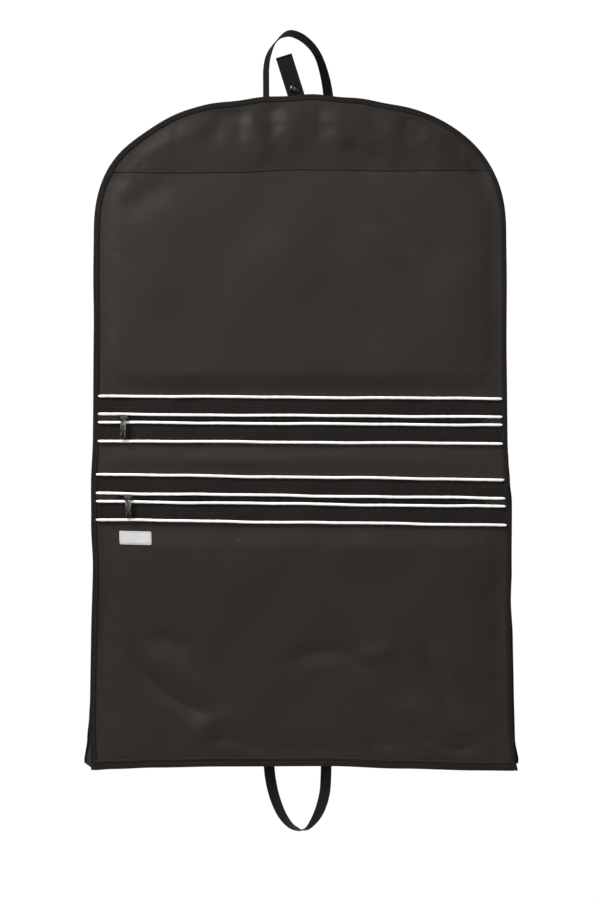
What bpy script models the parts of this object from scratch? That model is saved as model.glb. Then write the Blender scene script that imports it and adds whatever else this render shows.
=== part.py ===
"""A hanging garment bag with two zipped front pockets, carry handles and a snap tab.

Units are metres and +Z is up. The bag hangs at rest: X runs across it, the front faces -Y,
and the origin is the middle of its top edge, where a hanger's hook comes out.
"""

import math

import bmesh
import bpy
from mathutils import Matrix, Vector

# The bag's outline, seen from the front
HALF_WIDTH = 0.305
HALF_WIDTH_AT_HEM = 0.3165
ARCH_DROP = 0.206
ARCH_POWER = 2.47
LENGTH = 0.995
ARCH_STEPS = 22

# Layers, from the middle of the bag outwards
HALF_DEPTH = 0.016
PANEL_THICK = 0.001
GAP = 0.0003
BINDING_WIDE = 0.007
BINDING_THICK = 0.001
GUSSET_INSET = 0.0035
GUSSET_THICK = 0.001

# The fold, behind the back panels
FOLD_Z = -0.538
FOLD_Y = 0.024

# The front panel's rows, at the middle of the bag
YOKE_SEAM_Z = -0.111
PIPING_THICK = 0.0036
PIPING_SIDES = 8
POCKET_1_ROWS = (-0.446, -0.473, -0.485, -0.5125)
POCKET_1_SLOPE = -0.0068
POCKET_2_ROWS = (-0.564, -0.5915, -0.6037, -0.631)
POCKET_2_SLOPE = -0.0129
BAND_PROUD = 0.0005
LINING_DEPTH = 0.0055
LINING_MARGIN = 0.012
POCKET_1_LINING_Z = (-0.4525, -0.533)
POCKET_2_LINING_Z = (-0.574, -0.83)

# Zips
ZIP_TAPE_THICK = 0.0008
ZIP_TAPE_RECESS = 0.0008
COIL_WIDE = 0.0052
COIL_PROUD = 0.0008
ZIP_TAB_LONG = 0.030
ZIP_TAB_THICK = 0.0006
POCKET_1_SLIDER_X = -0.261
POCKET_2_SLIDER_X = -0.2545
BACK_TAPE_WIDE = 0.026
BACK_ZIP_TOP = -0.048
BACK_ZIP_BOTTOM = -0.978
BACK_UPPER_SLIDER_Z = -0.066
BACK_LOWER_SLIDER_Z = -0.954

# Zip slider and pull
SLIDER_THICK = 0.0035
SLIDER_LIFT = 0.0011
BAR_LIFT = 0.0078
BAR_THICK = 0.0015
POST_INNER = 0.0037
POST_OUTER = 0.0051
POST_ROOT = 0.0005
BARREL_RADIUS = 0.0022
BARREL_BORE = 0.0014
BARREL_HALF_LONG = 0.0032
BARREL_SIDES = 20
PULL_HALF_WIDE = 0.004
PULL_LONG = 0.031
PULL_THICK = 0.0014
PULL_SHOULDER = 0.0030
PULL_WINDOW = (0.0020, -0.0280, -0.0215)

# Label below the second pocket
LABEL_CENTRE = (-0.2462, -0.6540)
LABEL_SIZE = (0.048, 0.0205)
LABEL_THICK = 0.0008
LABEL_TILT = math.radians(1.4)

# Hanger slot in the top gusset
SLOT_X = -0.004
SLOT_HALF_LONG = 0.029
SLOT_Y = (-0.0062, 0.0078)
SLOT_FRAME_HALF_LONG = 0.0345
SLOT_FRAME_HALF_WIDE = 0.0147
SLOT_FRAME_Z = (-0.0046, -0.0030)
SLOT_SIDES = 32

# Webbing handles
HANDLE_WIDE = 0.016
HANDLE_THICK = 0.0016
HANDLE_STEPS = 5
TOP_HANDLE_Z = -0.0022
BOTTOM_HANDLE_Z = -0.9928

# Snap tab
TAB_WIDE = 0.0245
TAB_THICK = 0.0015
TAB_LEAN = math.radians(17.5)
TAB_FOOT_X = -0.0045
TAB_FOOT_Z = -0.0026
TAB_FOLD_HEIGHT = 0.0622
TAB_BACK_Y = -0.01195
TAB_FRONT_Y = -0.01665
TAB_FLAP_FOOT_Z = 0.001
TAB_FOLD_GAP = 0.0011
TAB_FOLD_STEPS = 8
SNAP_Z = 0.0098
SNAP_CAP_RADIUS = 0.0072
SNAP_CAP_THICK = 0.0022
SNAP_CAP_CROWN = 0.0045
SNAP_STUD_RADIUS = 0.0042
SNAP_SOCKET_RADIUS = 0.0058
SNAP_SIDES = 28


# ---------------------------------------------------------------- materials and objects


def new_material(name, colour, roughness, metallic=0.0):
    """A Principled BSDF material with one colour."""
    material = bpy.data.materials.new(name)
    material.use_nodes = True
    shader = material.node_tree.nodes["Principled BSDF"]
    shader.inputs["Base Color"].default_value = (*colour, 1.0)
    shader.inputs["Roughness"].default_value = roughness
    shader.inputs["Metallic"].default_value = metallic
    material.diffuse_color = (*colour, 1.0)
    return material


def make_materials():
    """Every finish of the bag, by name."""
    finishes = {
        "shell": ((0.038, 0.034, 0.030), 0.62, 0.0),
        "yoke": ((0.030, 0.027, 0.024), 0.62, 0.0),
        "ribbed": ((0.018, 0.016, 0.015), 0.58, 0.0),
        "binding": ((0.016, 0.015, 0.014), 0.7, 0.0),
        "webbing": ((0.016, 0.014, 0.013), 0.75, 0.0),
        "piping": ((0.86, 0.86, 0.85), 0.5, 0.0),
        "zip_tape": ((0.014, 0.013, 0.012), 0.7, 0.0),
        "lining": ((0.028, 0.026, 0.025), 0.7, 0.0),
        "label": ((0.58, 0.58, 0.57), 0.45, 0.0),
        "gunmetal": ((0.30, 0.29, 0.28), 0.32, 1.0),
        "snap": ((0.06, 0.058, 0.055), 0.30, 1.0),
    }
    return {name: new_material(name, *finish) for name, finish in finishes.items()}


def axis_empty(name, place, parent=None):
    """An empty on a joint's axis, for the pieces that move about it."""
    empty = bpy.data.objects.new(name, None)
    empty.empty_display_size = 0.02
    bpy.context.scene.collection.objects.link(empty)
    empty.location = Vector(place)
    attach(empty, parent)
    return empty


def attach(obj, parent):
    """Parent an object without moving it."""
    if parent is not None:
        bpy.context.view_layer.update()
        obj.parent = parent
        obj.matrix_parent_inverse = parent.matrix_world.inverted()


def add_object(name, mesh, material, parent=None, matrix=None):
    """One node of the bag, placed by its matrix."""
    if not mesh.materials:
        mesh.materials.append(material)
    obj = bpy.data.objects.new(name, mesh)
    bpy.context.scene.collection.objects.link(obj)
    obj.matrix_world = matrix or Matrix.Identity(4)
    attach(obj, parent)
    return obj


def finished_mesh(name, bm, smooth_angle=None):
    """A bmesh as mesh data with its faces pointing out."""
    bmesh.ops.recalc_face_normals(bm, faces=bm.faces)
    mesh = bpy.data.meshes.new(name)
    bm.to_mesh(mesh)
    bm.free()
    if smooth_angle is not None:
        mesh.shade_smooth()
        mesh.set_sharp_from_angle(angle=smooth_angle)
    return mesh


# ---------------------------------------------------------------- closed shapes


def loft(name, loops, smooth_angle=None):
    """A closed solid through loops of equal length, with a face on the first and on the last."""
    bm = bmesh.new()
    rings = [[bm.verts.new(point) for point in loop] for loop in loops]
    for here, there in zip(rings, rings[1:]):
        count = len(here)
        for i in range(count):
            j = (i + 1) % count
            bm.faces.new((here[i], here[j], there[j], there[i]))
    bm.faces.new(rings[0])
    bm.faces.new(rings[-1])
    return finished_mesh(name, bm, smooth_angle)


def upright_plate(name, outline, y_low, y_high):
    """An outline of (x, z) points made solid from y_low to y_high."""
    loops = [[(x, y, z) for x, z in outline] for y in (y_low, y_high)]
    return loft(name, loops)


def ring_plate(name, outer, inner, z_low, z_high):
    """A flat frame between two loops of (x, y) points of equal length."""
    bm = bmesh.new()
    corners = []
    for z in (z_low, z_high):
        corners.append([[bm.verts.new((x, y, z)) for x, y in loop] for loop in (outer, inner)])
    (low_out, low_in), (high_out, high_in) = corners
    count = len(outer)
    walls = ((low_out, low_in), (high_out, high_in), (low_out, high_out), (low_in, high_in))
    for a, b in walls:
        for i in range(count):
            j = (i + 1) % count
            bm.faces.new((a[i], a[j], b[j], b[i]))
    return finished_mesh(name, bm)


def box_bmesh(low, high):
    """A box as a bmesh, from two opposite corners."""
    bm = bmesh.new()
    bmesh.ops.create_cube(bm, size=1.0)
    low, high = Vector(low), Vector(high)
    bmesh.ops.scale(bm, vec=high - low, verts=bm.verts)
    bmesh.ops.translate(bm, vec=(low + high) / 2, verts=bm.verts)
    return bm


def cylinder_bmesh(radius, half_long, sides):
    """A cylinder along X about the origin, as a bmesh."""
    bm = bmesh.new()
    bmesh.ops.create_cone(
        bm,
        cap_ends=True,
        segments=sides,
        radius1=radius,
        radius2=radius,
        depth=2 * half_long,
        matrix=Matrix.Rotation(math.pi / 2, 4, "Y"),
    )
    return bm


def combined(name, base, steps, smooth_angle=None):
    """A mesh with others joined to it or cut from it, each given as (operation, bmesh)."""
    scene = bpy.context.scene.collection
    target = bpy.data.objects.new(name, finished_mesh(name, base))
    scene.objects.link(target)
    helpers = []
    for operation, bm in steps:
        helper = bpy.data.objects.new(f"{name}_helper", finished_mesh(f"{name}_helper", bm))
        helper.hide_render = True
        helper.display_type = "WIRE"
        scene.objects.link(helper)
        modifier = target.modifiers.new(operation.lower(), "BOOLEAN")
        modifier.operation = operation
        modifier.object = helper
        helpers.append(helper)
    graph = bpy.context.evaluated_depsgraph_get()
    mesh = bpy.data.meshes.new_from_object(target.evaluated_get(graph))
    mesh.name = name
    for obj in (target, *helpers):
        bpy.data.objects.remove(obj, do_unlink=True)
    if smooth_angle is not None:
        mesh.shade_smooth()
        mesh.set_sharp_from_angle(angle=smooth_angle)
    return mesh


def smooth_route(points, steps):
    """Points on a Catmull-Rom curve through rows of numbers of any length."""
    rows = [Vector(p) for p in points]
    rows = [2 * rows[0] - rows[1], *rows, 2 * rows[-1] - rows[-2]]
    out = []
    for a, b, c, d in zip(rows, rows[1:], rows[2:], rows[3:]):
        for i in range(steps):
            t = i / steps
            bend = (2 * a - 5 * b + 4 * c - d) * t**2 + (3 * b - a - 3 * c + d) * t**3
            out.append(b + ((c - a) * t + bend) / 2)
    return [*out, rows[-2]]


def ribbon(name, centres, turns, wide, thick):
    """Flat webbing along a route in the XZ plane; a turn rotates it about the route."""
    loops = []
    for i, centre in enumerate(centres):
        before = centres[max(i - 1, 0)]
        after = centres[min(i + 1, len(centres) - 1)]
        along = (after - before).normalized()
        if i in (0, len(centres) - 1):
            along = Vector((0.0, 0.0, math.copysign(1.0, along.z)))
        across = Vector((along.z, 0.0, -along.x))
        across = Matrix.Rotation(turns[i], 3, along) @ across
        face = along.cross(across)
        offsets = ((-1, -1), (1, -1), (1, 1), (-1, 1))
        loops.append([centre + across * u * wide / 2 + face * v * thick / 2 for u, v in offsets])
    return loft(name, loops)


# ---------------------------------------------------------------- the bag's outline


def half_width(z, inset=0.0):
    """Half of the bag's width at a height, less an inset measured across."""
    if z < -ARCH_DROP:
        share = (-ARCH_DROP - z) / (LENGTH - ARCH_DROP)
        return HALF_WIDTH + (HALF_WIDTH_AT_HEM - HALF_WIDTH) * share - inset
    height = min((z + ARCH_DROP) / ARCH_DROP, 1.0)
    return HALF_WIDTH * (1.0 - height**ARCH_POWER) ** (1.0 / ARCH_POWER) - inset


def arch_point(angle, inset=0.0):
    """A point (x, z) on the right half of the arched top, moved inwards by the inset."""
    power = 2.0 / ARCH_POWER
    cos, sin = math.cos(angle), math.sin(angle)
    cos = max(cos, 0.0)
    x = HALF_WIDTH * cos**power
    z = -ARCH_DROP + ARCH_DROP * sin**power
    normal = Vector((
        cos ** (2.0 - power) / HALF_WIDTH,
        sin ** (2.0 - power) / ARCH_DROP,
    )).normalized()
    return x - normal.x * inset, z - normal.y * inset


def arch_angle(z):
    """The angle at which the arch reaches a height."""
    return math.asin(((z + ARCH_DROP) / ARCH_DROP) ** (ARCH_POWER / 2))


def arch_run(start, end, inset=0.0, steps=ARCH_STEPS):
    """Points (x, z) along the right half of the arch between two angles."""
    return [arch_point(start + (end - start) * i / steps, inset) for i in range(steps + 1)]


def arch_until(x_end, inset=0.0):
    """The right half of the arch up to a distance from the middle, on the whole arch's chords."""
    points = arch_run(0.0, math.pi / 2, inset)
    kept = [point for point in points if point[0] > x_end]
    (x_before, z_before), (x_after, z_after) = kept[-1], points[len(kept)]
    share = (x_before - x_end) / (x_before - x_after)
    return [*kept, (x_end, z_before + (z_after - z_before) * share)]


def mirrored(points):
    """The same points on the other side, in reverse order."""
    return [(-x, z) for x, z in reversed(points)]


def side_point(z, side, inset=0.0):
    """A point (x, z) on the bag's left (-1) or right (1) edge."""
    return side * half_width(z, inset), z


def row_edge(z, slope, side, inset=0.0):
    """Where a sloping row meets the bag's left (-1) or right (1) edge."""
    x = side * half_width(z, inset)
    return x, z + slope * x


def row_plate(name, top, bottom, y_low, y_high, inset=0.0):
    """A full-width plate between two rows, each given as (z at the middle, slope)."""
    outline = [
        row_edge(*top, -1, inset),
        row_edge(*top, 1, inset),
        row_edge(*bottom, 1, inset),
        row_edge(*bottom, -1, inset),
    ]
    return upright_plate(name, outline, y_low, y_high)


# ---------------------------------------------------------------- front panels


def front_y(thick=PANEL_THICK, lift=0.0):
    """The rear and front faces of a layer that lies `lift` in front of the panel's face plane."""
    face = -HALF_DEPTH - lift
    return face, face + thick


def build_front_panels(materials, fold):
    """The yoke, the upper panel, the plain band between the pockets and the lower panel."""
    y = front_y()
    at_seam = arch_angle(YOKE_SEAM_Z)
    arch = arch_run(at_seam, math.pi / 2)
    yoke = upright_plate("front_yoke", arch + mirrored(arch[:-1]), *y)
    add_object("front_yoke", yoke, materials["yoke"])

    below_seam = arch_run(0.0, arch_angle(YOKE_SEAM_Z - GAP), steps=ARCH_STEPS // 2)
    foot = POCKET_1_ROWS[0] + GAP / 2
    outline = [row_edge(foot, POCKET_1_SLOPE, 1), *below_seam]
    outline += [*mirrored(below_seam), row_edge(foot, POCKET_1_SLOPE, -1)]
    upper = upright_plate("front_upper_panel", outline, *y)
    add_object("front_upper_panel", upper, materials["shell"])

    pieces = (
        ("front_mid_upper", (POCKET_1_ROWS[3], POCKET_1_SLOPE), (FOLD_Z, 0.0), None),
        ("front_mid_lower", (FOLD_Z, 0.0), (POCKET_2_ROWS[0], POCKET_2_SLOPE), fold),
        ("front_lower_panel", (POCKET_2_ROWS[3], POCKET_2_SLOPE), (-LENGTH, 0.0), fold),
    )
    for name, (top, top_slope), (bottom, bottom_slope), parent in pieces:
        top_row = (top - GAP / 2, top_slope)
        bottom_row = (bottom + GAP / 2 if bottom > -LENGTH else bottom, bottom_slope)
        mesh = row_plate(name, top_row, bottom_row, *y)
        add_object(name, mesh, materials["shell"], parent)


def build_piping(name, z, slope, material, parent):
    """One round piping cord along a seam, between the side bindings."""
    radius = PIPING_THICK / 2
    y = -HALF_DEPTH - BAND_PROUD - GAP - radius
    reach = half_width(z, BINDING_WIDE + GAP)
    loops = []
    for x in (-reach, reach):
        loop = []
        for i in range(PIPING_SIDES):
            angle = 2 * math.pi * (i + 0.5) / PIPING_SIDES
            centre_z = z + slope * x
            loop.append((x, y + radius * math.cos(angle), centre_z + radius * math.sin(angle)))
        loops.append(loop)
    add_object(name, loft(name, loops, math.radians(50)), material, parent)


def zip_profile(z_low, z_high, z_middle):
    """The (y, z) outline of a zip's tape with its coil standing proud of it."""
    tape_back = -HALF_DEPTH + ZIP_TAPE_RECESS + ZIP_TAPE_THICK
    tape_front = tape_back - ZIP_TAPE_THICK
    coil_front = -HALF_DEPTH - COIL_PROUD
    return [
        (tape_back, z_low),
        (tape_front, z_low),
        (tape_front, z_middle - COIL_WIDE / 2),
        (coil_front, z_middle - COIL_WIDE / 2),
        (coil_front, z_middle + COIL_WIDE / 2),
        (tape_front, z_middle + COIL_WIDE / 2),
        (tape_front, z_high),
        (tape_back, z_high),
    ]


def build_pocket(number, rows, slope, lining_z, slider_x, materials, parent):
    """Four pipings, two ribbed bands, the zip, its end tabs, the lining, the slider and its pull."""
    name = f"pocket{number}"
    for i, z in enumerate(rows, start=1):
        build_piping(f"{name}_piping_{i}", z, slope, materials["piping"], parent)

    y = front_y(PANEL_THICK + BAND_PROUD, BAND_PROUD)
    for band, (top, bottom) in (("upper", rows[:2]), ("lower", rows[2:])):
        band_name = f"{name}_band_{band}"
        edges = ((top - GAP / 2, slope), (bottom + GAP / 2, slope))
        mesh = row_plate(band_name, *edges, *y)
        add_object(band_name, mesh, materials["ribbed"], parent)

    middle = (rows[1] + rows[2]) / 2
    profile = zip_profile(rows[2] + GAP / 2, rows[1] - GAP / 2, middle)
    loops = []
    for side in (-1, 1):
        x = side * half_width(middle, BINDING_WIDE)
        loops.append([(x, py, pz + slope * x) for py, pz in profile])
    add_object(f"{name}_zip", loft(f"{name}_zip", loops), materials["zip_tape"], parent)

    tab_front = -HALF_DEPTH - COIL_PROUD - GAP - ZIP_TAB_THICK
    for side_name, side in (("left", -1), ("right", 1)):
        outer = side * half_width(middle, BINDING_WIDE + GAP)
        inner = outer - side * ZIP_TAB_LONG
        room = PIPING_THICK / 2 + GAP
        outline = [
            (x, z + slope * x)
            for x, z in (
                (outer, rows[1] - room),
                (inner, rows[1] - room),
                (inner, rows[2] + room),
                (outer, rows[2] + room),
            )
        ]
        tab_name = f"{name}_zip_tab_{side_name}"
        mesh = upright_plate(tab_name, outline, tab_front, tab_front + ZIP_TAB_THICK)
        add_object(tab_name, mesh, materials["shell"], parent)

    top, bottom = lining_z
    lining_y = -HALF_DEPTH + LINING_DEPTH
    lining = row_plate(
        f"{name}_lining",
        (top, 0.0),
        (bottom, 0.0),
        lining_y,
        lining_y + PANEL_THICK / 2,
        LINING_MARGIN,
    )
    add_object(f"{name}_lining", lining, materials["lining"], parent)

    place = Vector((slider_x, -HALF_DEPTH, middle + slope * slider_x))
    build_slider(name, place, materials["gunmetal"], parent, nose=Vector((-1, 0)), front=True)


def build_label(materials, fold):
    """The plain woven label sewn below the second pocket."""
    wide, tall = LABEL_SIZE
    y_front = -HALF_DEPTH - GAP - LABEL_THICK
    turn = Matrix.Rotation(-LABEL_TILT, 2)
    outline = []
    for u, v in ((-1, -1), (1, -1), (1, 1), (-1, 1)):
        corner = Vector(LABEL_CENTRE) + turn @ Vector((u * wide / 2, v * tall / 2))
        outline.append((corner.x, corner.y))
    mesh = upright_plate("label", outline, y_front, y_front + LABEL_THICK)
    add_object("label", mesh, materials["label"], fold)


# ---------------------------------------------------------------- zip slider and pull


def slider_outline(nose):
    """The slider's outline: wide at its nose, where the open zip enters, and narrow behind."""
    half = (
        (-0.0065, 0.0026),
        (-0.0052, 0.0034),
        (0.0030, 0.0042),
        (0.0056, 0.0042),
        (0.0065, 0.0032),
    )
    points = [*half, *((s, -t) for s, t in reversed(half))]
    along = Vector(nose)
    across = Vector((-along.y, along.x))
    return [tuple(along * s + across * t) for s, t in points]


def slider_mesh(name, nose):
    """A slider facing -Y, with a bridge that holds a bar along X for the pull."""
    body = bmesh.new()
    loops = []
    for y in (-SLIDER_LIFT, -SLIDER_LIFT - SLIDER_THICK):
        loops.append([body.verts.new((x, y, z)) for x, z in slider_outline(nose)])
    count = len(loops[0])
    for i in range(count):
        j = (i + 1) % count
        body.faces.new((loops[0][i], loops[0][j], loops[1][j], loops[1][i]))
    body.faces.new(loops[0])
    body.faces.new(loops[1])

    root = -SLIDER_LIFT - SLIDER_THICK + POST_ROOT
    outer = -BAR_LIFT - BAR_THICK / 2
    inner = -BAR_LIFT + BAR_THICK / 2
    bridge = box_bmesh((-POST_OUTER, outer, -BAR_THICK / 2), (POST_OUTER, root, BAR_THICK / 2))
    side = BAR_THICK
    window = box_bmesh((-POST_INNER, inner, -side), (POST_INNER, root - POST_ROOT, side))
    return combined(name, body, (("UNION", bridge), ("DIFFERENCE", window)))


def pull_mesh(name):
    """A flat pull tab facing -Y, hanging from a barrel about the X axis."""
    wide, neck = PULL_HALF_WIDE, BARREL_HALF_LONG
    foot, corner = -PULL_LONG, 0.0012
    neck_top = -(BARREL_RADIUS + BARREL_BORE) / 2
    outline = [
        (-neck, neck_top),
        (-neck, -PULL_SHOULDER),
        (-wide, -PULL_SHOULDER - corner),
        (-wide, foot + corner),
        (-wide + corner, foot),
        (wide - corner, foot),
        (wide, foot + corner),
        (wide, -PULL_SHOULDER - corner),
        (neck, -PULL_SHOULDER),
        (neck, neck_top),
    ]
    plate = bmesh.new()
    loops = []
    for y in (-PULL_THICK / 2, PULL_THICK / 2):
        loops.append([plate.verts.new((x, y, z)) for x, z in outline])
    count = len(outline)
    for i in range(count):
        j = (i + 1) % count
        plate.faces.new((loops[0][i], loops[0][j], loops[1][j], loops[1][i]))
    plate.faces.new(loops[0])
    plate.faces.new(loops[1])

    half, low, high = PULL_WINDOW
    window = box_bmesh((-half, -PULL_THICK, low), (half, PULL_THICK, high))
    barrel = cylinder_bmesh(BARREL_RADIUS, BARREL_HALF_LONG, BARREL_SIDES)
    bore = cylinder_bmesh(BARREL_BORE, 2 * BARREL_HALF_LONG, BARREL_SIDES)
    steps = (("DIFFERENCE", window), ("UNION", barrel), ("DIFFERENCE", bore))
    return combined(name, plate, steps, math.radians(40))


def build_slider(name, place, material, parent, nose, front):
    """A zip slider and its pull tab, on the front or on the back of the bag."""
    turn = Matrix.Identity(4) if front else Matrix.Rotation(math.pi, 4, "Z")
    outward = Vector((0.0, -BAR_LIFT if front else BAR_LIFT, 0.0))
    slider_axis = axis_empty(f"{name}_slider_axis", place, parent)
    bar = place + outward
    pull_axis = axis_empty(f"{name}_pull_axis", bar, slider_axis)
    mesh = slider_mesh(f"{name}_slider", nose)
    where = Matrix.Translation(place) @ turn
    add_object(f"{name}_slider", mesh, material, slider_axis, where)
    where = Matrix.Translation(bar) @ turn
    add_object(f"{name}_pull", pull_mesh(f"{name}_pull"), material, pull_axis, where)


# ---------------------------------------------------------------- back, gussets and bindings


def build_back(materials, fold):
    """Four back panels and the centre zip in two lengths, each with its slider."""
    y = (HALF_DEPTH - PANEL_THICK, HALF_DEPTH)
    inner = BACK_TAPE_WIDE / 2 + GAP
    edge = BINDING_WIDE + GAP
    hem = -LENGTH + edge
    top, bottom = FOLD_Z + GAP / 2, FOLD_Z - GAP / 2
    for side_name, side in (("left", -1), ("right", 1)):
        upper = [(inner, top), side_point(top, 1, edge), *arch_until(inner, edge)]
        lower = [(inner, bottom), side_point(bottom, 1, edge), side_point(hem, 1, edge), (inner, hem)]
        for half, outline, parent in (("upper", upper, None), ("lower", lower, fold)):
            name = f"back_{half}_{side_name}"
            outline = [(side * x, z) for x, z in outline]
            add_object(name, upright_plate(name, outline, *y), materials["shell"], parent)

    ends = {"upper": (-edge, top), "lower": (bottom, hem)}
    coil_ends = {"upper": (BACK_ZIP_TOP, top), "lower": (bottom, BACK_ZIP_BOTTOM)}
    sliders = {"upper": (BACK_UPPER_SLIDER_Z, 1), "lower": (BACK_LOWER_SLIDER_Z, -1)}
    for half, parent in (("upper", None), ("lower", fold)):
        name = f"back_zip_{half}"
        add_object(name, back_zip_mesh(name, ends[half], coil_ends[half]), materials["zip_tape"], parent)
        z, nose = sliders[half]
        place = Vector((0.0, HALF_DEPTH, z))
        build_slider(name, place, materials["gunmetal"], parent, Vector((0, nose)), front=False)


def back_zip_mesh(name, tape_z, coil_z):
    """The back zip's tape, with a coil that is shorter than the tape at its closed end."""
    tape_front = HALF_DEPTH - ZIP_TAPE_RECESS
    tape = (-BACK_TAPE_WIDE / 2, tape_front - ZIP_TAPE_THICK, min(tape_z))
    base = box_bmesh(tape, (BACK_TAPE_WIDE / 2, tape_front, max(tape_z)))
    low = (-COIL_WIDE / 2, tape_front - ZIP_TAPE_THICK / 2, min(coil_z))
    coil = box_bmesh(low, (COIL_WIDE / 2, HALF_DEPTH + COIL_PROUD, max(coil_z)))
    return combined(name, base, (("UNION", coil),))


def build_gussets(materials, fold):
    """The narrow walls that join front and back, with the slotted piece at the top."""
    y = (-HALF_DEPTH + PANEL_THICK + GAP, HALF_DEPTH - PANEL_THICK - GAP)
    out, within = GUSSET_INSET, GUSSET_INSET + GUSSET_THICK
    hem = -LENGTH + GUSSET_INSET
    for side_name, side in (("left", -1), ("right", 1)):
        slot_end = SLOT_FRAME_HALF_LONG + GAP + side * SLOT_X
        outer, inner = arch_until(slot_end, out), arch_until(slot_end, within)
        arch = [(side * x, z) for x, z in [*outer, *reversed(inner)]]
        name = f"gusset_arch_{side_name}"
        add_object(name, upright_plate(name, arch, *y), materials["shell"])

        runs = (
            ("upper", -ARCH_DROP - GAP, FOLD_Z + GAP / 2, None),
            ("lower", FOLD_Z - GAP / 2, hem + GUSSET_THICK + GAP, fold),
        )
        for half, top, bottom, parent in runs:
            outline = [side_point(top, side, out), side_point(bottom, side, out)]
            outline += [side_point(bottom, side, within), side_point(top, side, within)]
            name = f"gusset_side_{half}_{side_name}"
            add_object(name, upright_plate(name, outline, *y), materials["shell"], parent)

    reach = half_width(hem, out)
    outline = [(-reach, hem), (reach, hem), (reach, hem + GUSSET_THICK), (-reach, hem + GUSSET_THICK)]
    bottom = upright_plate("gusset_bottom", outline, *y)
    add_object("gusset_bottom", bottom, materials["shell"], fold)


def build_hanger_slot(materials):
    """The stiffened frame with the slot that a hanger's hook comes out of."""
    slot_middle = sum(SLOT_Y) / 2
    slot_half = (SLOT_Y[1] - SLOT_Y[0]) / 2
    outer, inner = [], []
    for i in range(SLOT_SIDES):
        angle = 2 * math.pi * (i + 0.5) / SLOT_SIDES
        cos, sin = math.cos(angle), math.sin(angle)
        square = max(abs(cos), abs(sin))
        outer.append((
            SLOT_X + SLOT_FRAME_HALF_LONG * cos / square,
            SLOT_FRAME_HALF_WIDE * sin / square,
        ))
        straight = math.copysign(SLOT_HALF_LONG - slot_half, cos)
        inner.append((SLOT_X + straight + slot_half * cos, slot_middle + slot_half * sin))
    mesh = ring_plate("hanger_slot", outer, inner, *SLOT_FRAME_Z)
    add_object("hanger_slot", mesh, materials["webbing"])


def build_bindings(materials, fold):
    """The tape sewn over the front and back edges, in an upper and a lower length."""
    arch_out = arch_run(0.0, math.pi / 2)
    arch_in = arch_run(0.0, math.pi / 2, BINDING_WIDE)
    top = [side_point(FOLD_Z + GAP / 2, 1), *arch_out, *mirrored(arch_out[:-1])]
    top += [side_point(FOLD_Z + GAP / 2, -1), side_point(FOLD_Z + GAP / 2, -1, BINDING_WIDE)]
    top += [*arch_in[:-1], *mirrored(arch_in)][::-1]
    top += [side_point(FOLD_Z + GAP / 2, 1, BINDING_WIDE)]
    foot_in = -LENGTH + BINDING_WIDE
    low = [side_point(FOLD_Z - GAP / 2, -1), side_point(-LENGTH, -1), side_point(-LENGTH, 1)]
    low += [side_point(FOLD_Z - GAP / 2, 1), side_point(FOLD_Z - GAP / 2, 1, BINDING_WIDE)]
    low += [side_point(foot_in, 1, BINDING_WIDE), side_point(foot_in, -1, BINDING_WIDE)]
    low += [side_point(FOLD_Z - GAP / 2, -1, BINDING_WIDE)]
    front = -HALF_DEPTH - BAND_PROUD - GAP
    faces = {
        "front": (front - BINDING_THICK, front),
        "back": (HALF_DEPTH - PANEL_THICK, HALF_DEPTH + BINDING_THICK),
    }
    for face, y in faces.items():
        for half, outline, parent in (("upper", top, None), ("lower", low, fold)):
            name = f"binding_{face}_{half}"
            add_object(name, upright_plate(name, outline, *y), materials["binding"], parent)


# ---------------------------------------------------------------- handles


def build_handle(name, route, z_axis, material, parent):
    """A webbing handle from rows of (x, z, turn in degrees), swinging about its sewn ends."""
    rows = smooth_route(route, HANDLE_STEPS)
    centres = [Vector((row[0], 0.0, row[1])) for row in rows]
    turns = [math.radians(row[2]) for row in rows]
    mesh = ribbon(name, centres, turns, HANDLE_WIDE, HANDLE_THICK)
    pivot = axis_empty(f"{name}_axis", (SLOT_X, 0.0, z_axis), parent)
    add_object(name, mesh, material, pivot)


def build_handles(materials, fold):
    """The carry handle above the bag and the one below it, each bent over at a twist."""
    top = (
        (-0.0506, TOP_HANDLE_Z, 0),
        (-0.0506, 0.024, 0),
        (-0.0500, 0.050, 50),
        (-0.0370, 0.079, 82),
        (-0.0120, 0.0910, 48),
        (0.0170, 0.0760, 20),
        (0.0330, 0.0450, 8),
        (0.0400, 0.0180, 0),
        (0.0412, TOP_HANDLE_Z, 0),
    )
    build_handle("top_handle", top, TOP_HANDLE_Z, materials["webbing"], None)
    bottom = (
        (-0.0458, BOTTOM_HANDLE_Z, 0),
        (-0.0455, -1.018, 0),
        (-0.0410, -1.045, 10),
        (-0.0270, -1.069, 25),
        (-0.0030, -1.0800, 75),
        (0.0190, -1.0690, 25),
        (0.0330, -1.045, 10),
        (0.0385, -1.018, 0),
        (0.0388, BOTTOM_HANDLE_Z, 0),
    )
    build_handle("bottom_handle", bottom, BOTTOM_HANDLE_Z, materials["webbing"], fold)


# ---------------------------------------------------------------- snap tab


def tab_point(across, height, y):
    """A world point from a place on the leaning tab."""
    x = TAB_FOOT_X + across * math.cos(TAB_LEAN) - height * math.sin(TAB_LEAN)
    z = TAB_FOOT_Z + across * math.sin(TAB_LEAN) + height * math.cos(TAB_LEAN)
    return Vector((x, y, z))


def tab_height(across, z):
    """How far up the tab a level line at z crosses it."""
    return (z - TAB_FOOT_Z - across * math.sin(TAB_LEAN)) / math.cos(TAB_LEAN)


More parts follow.
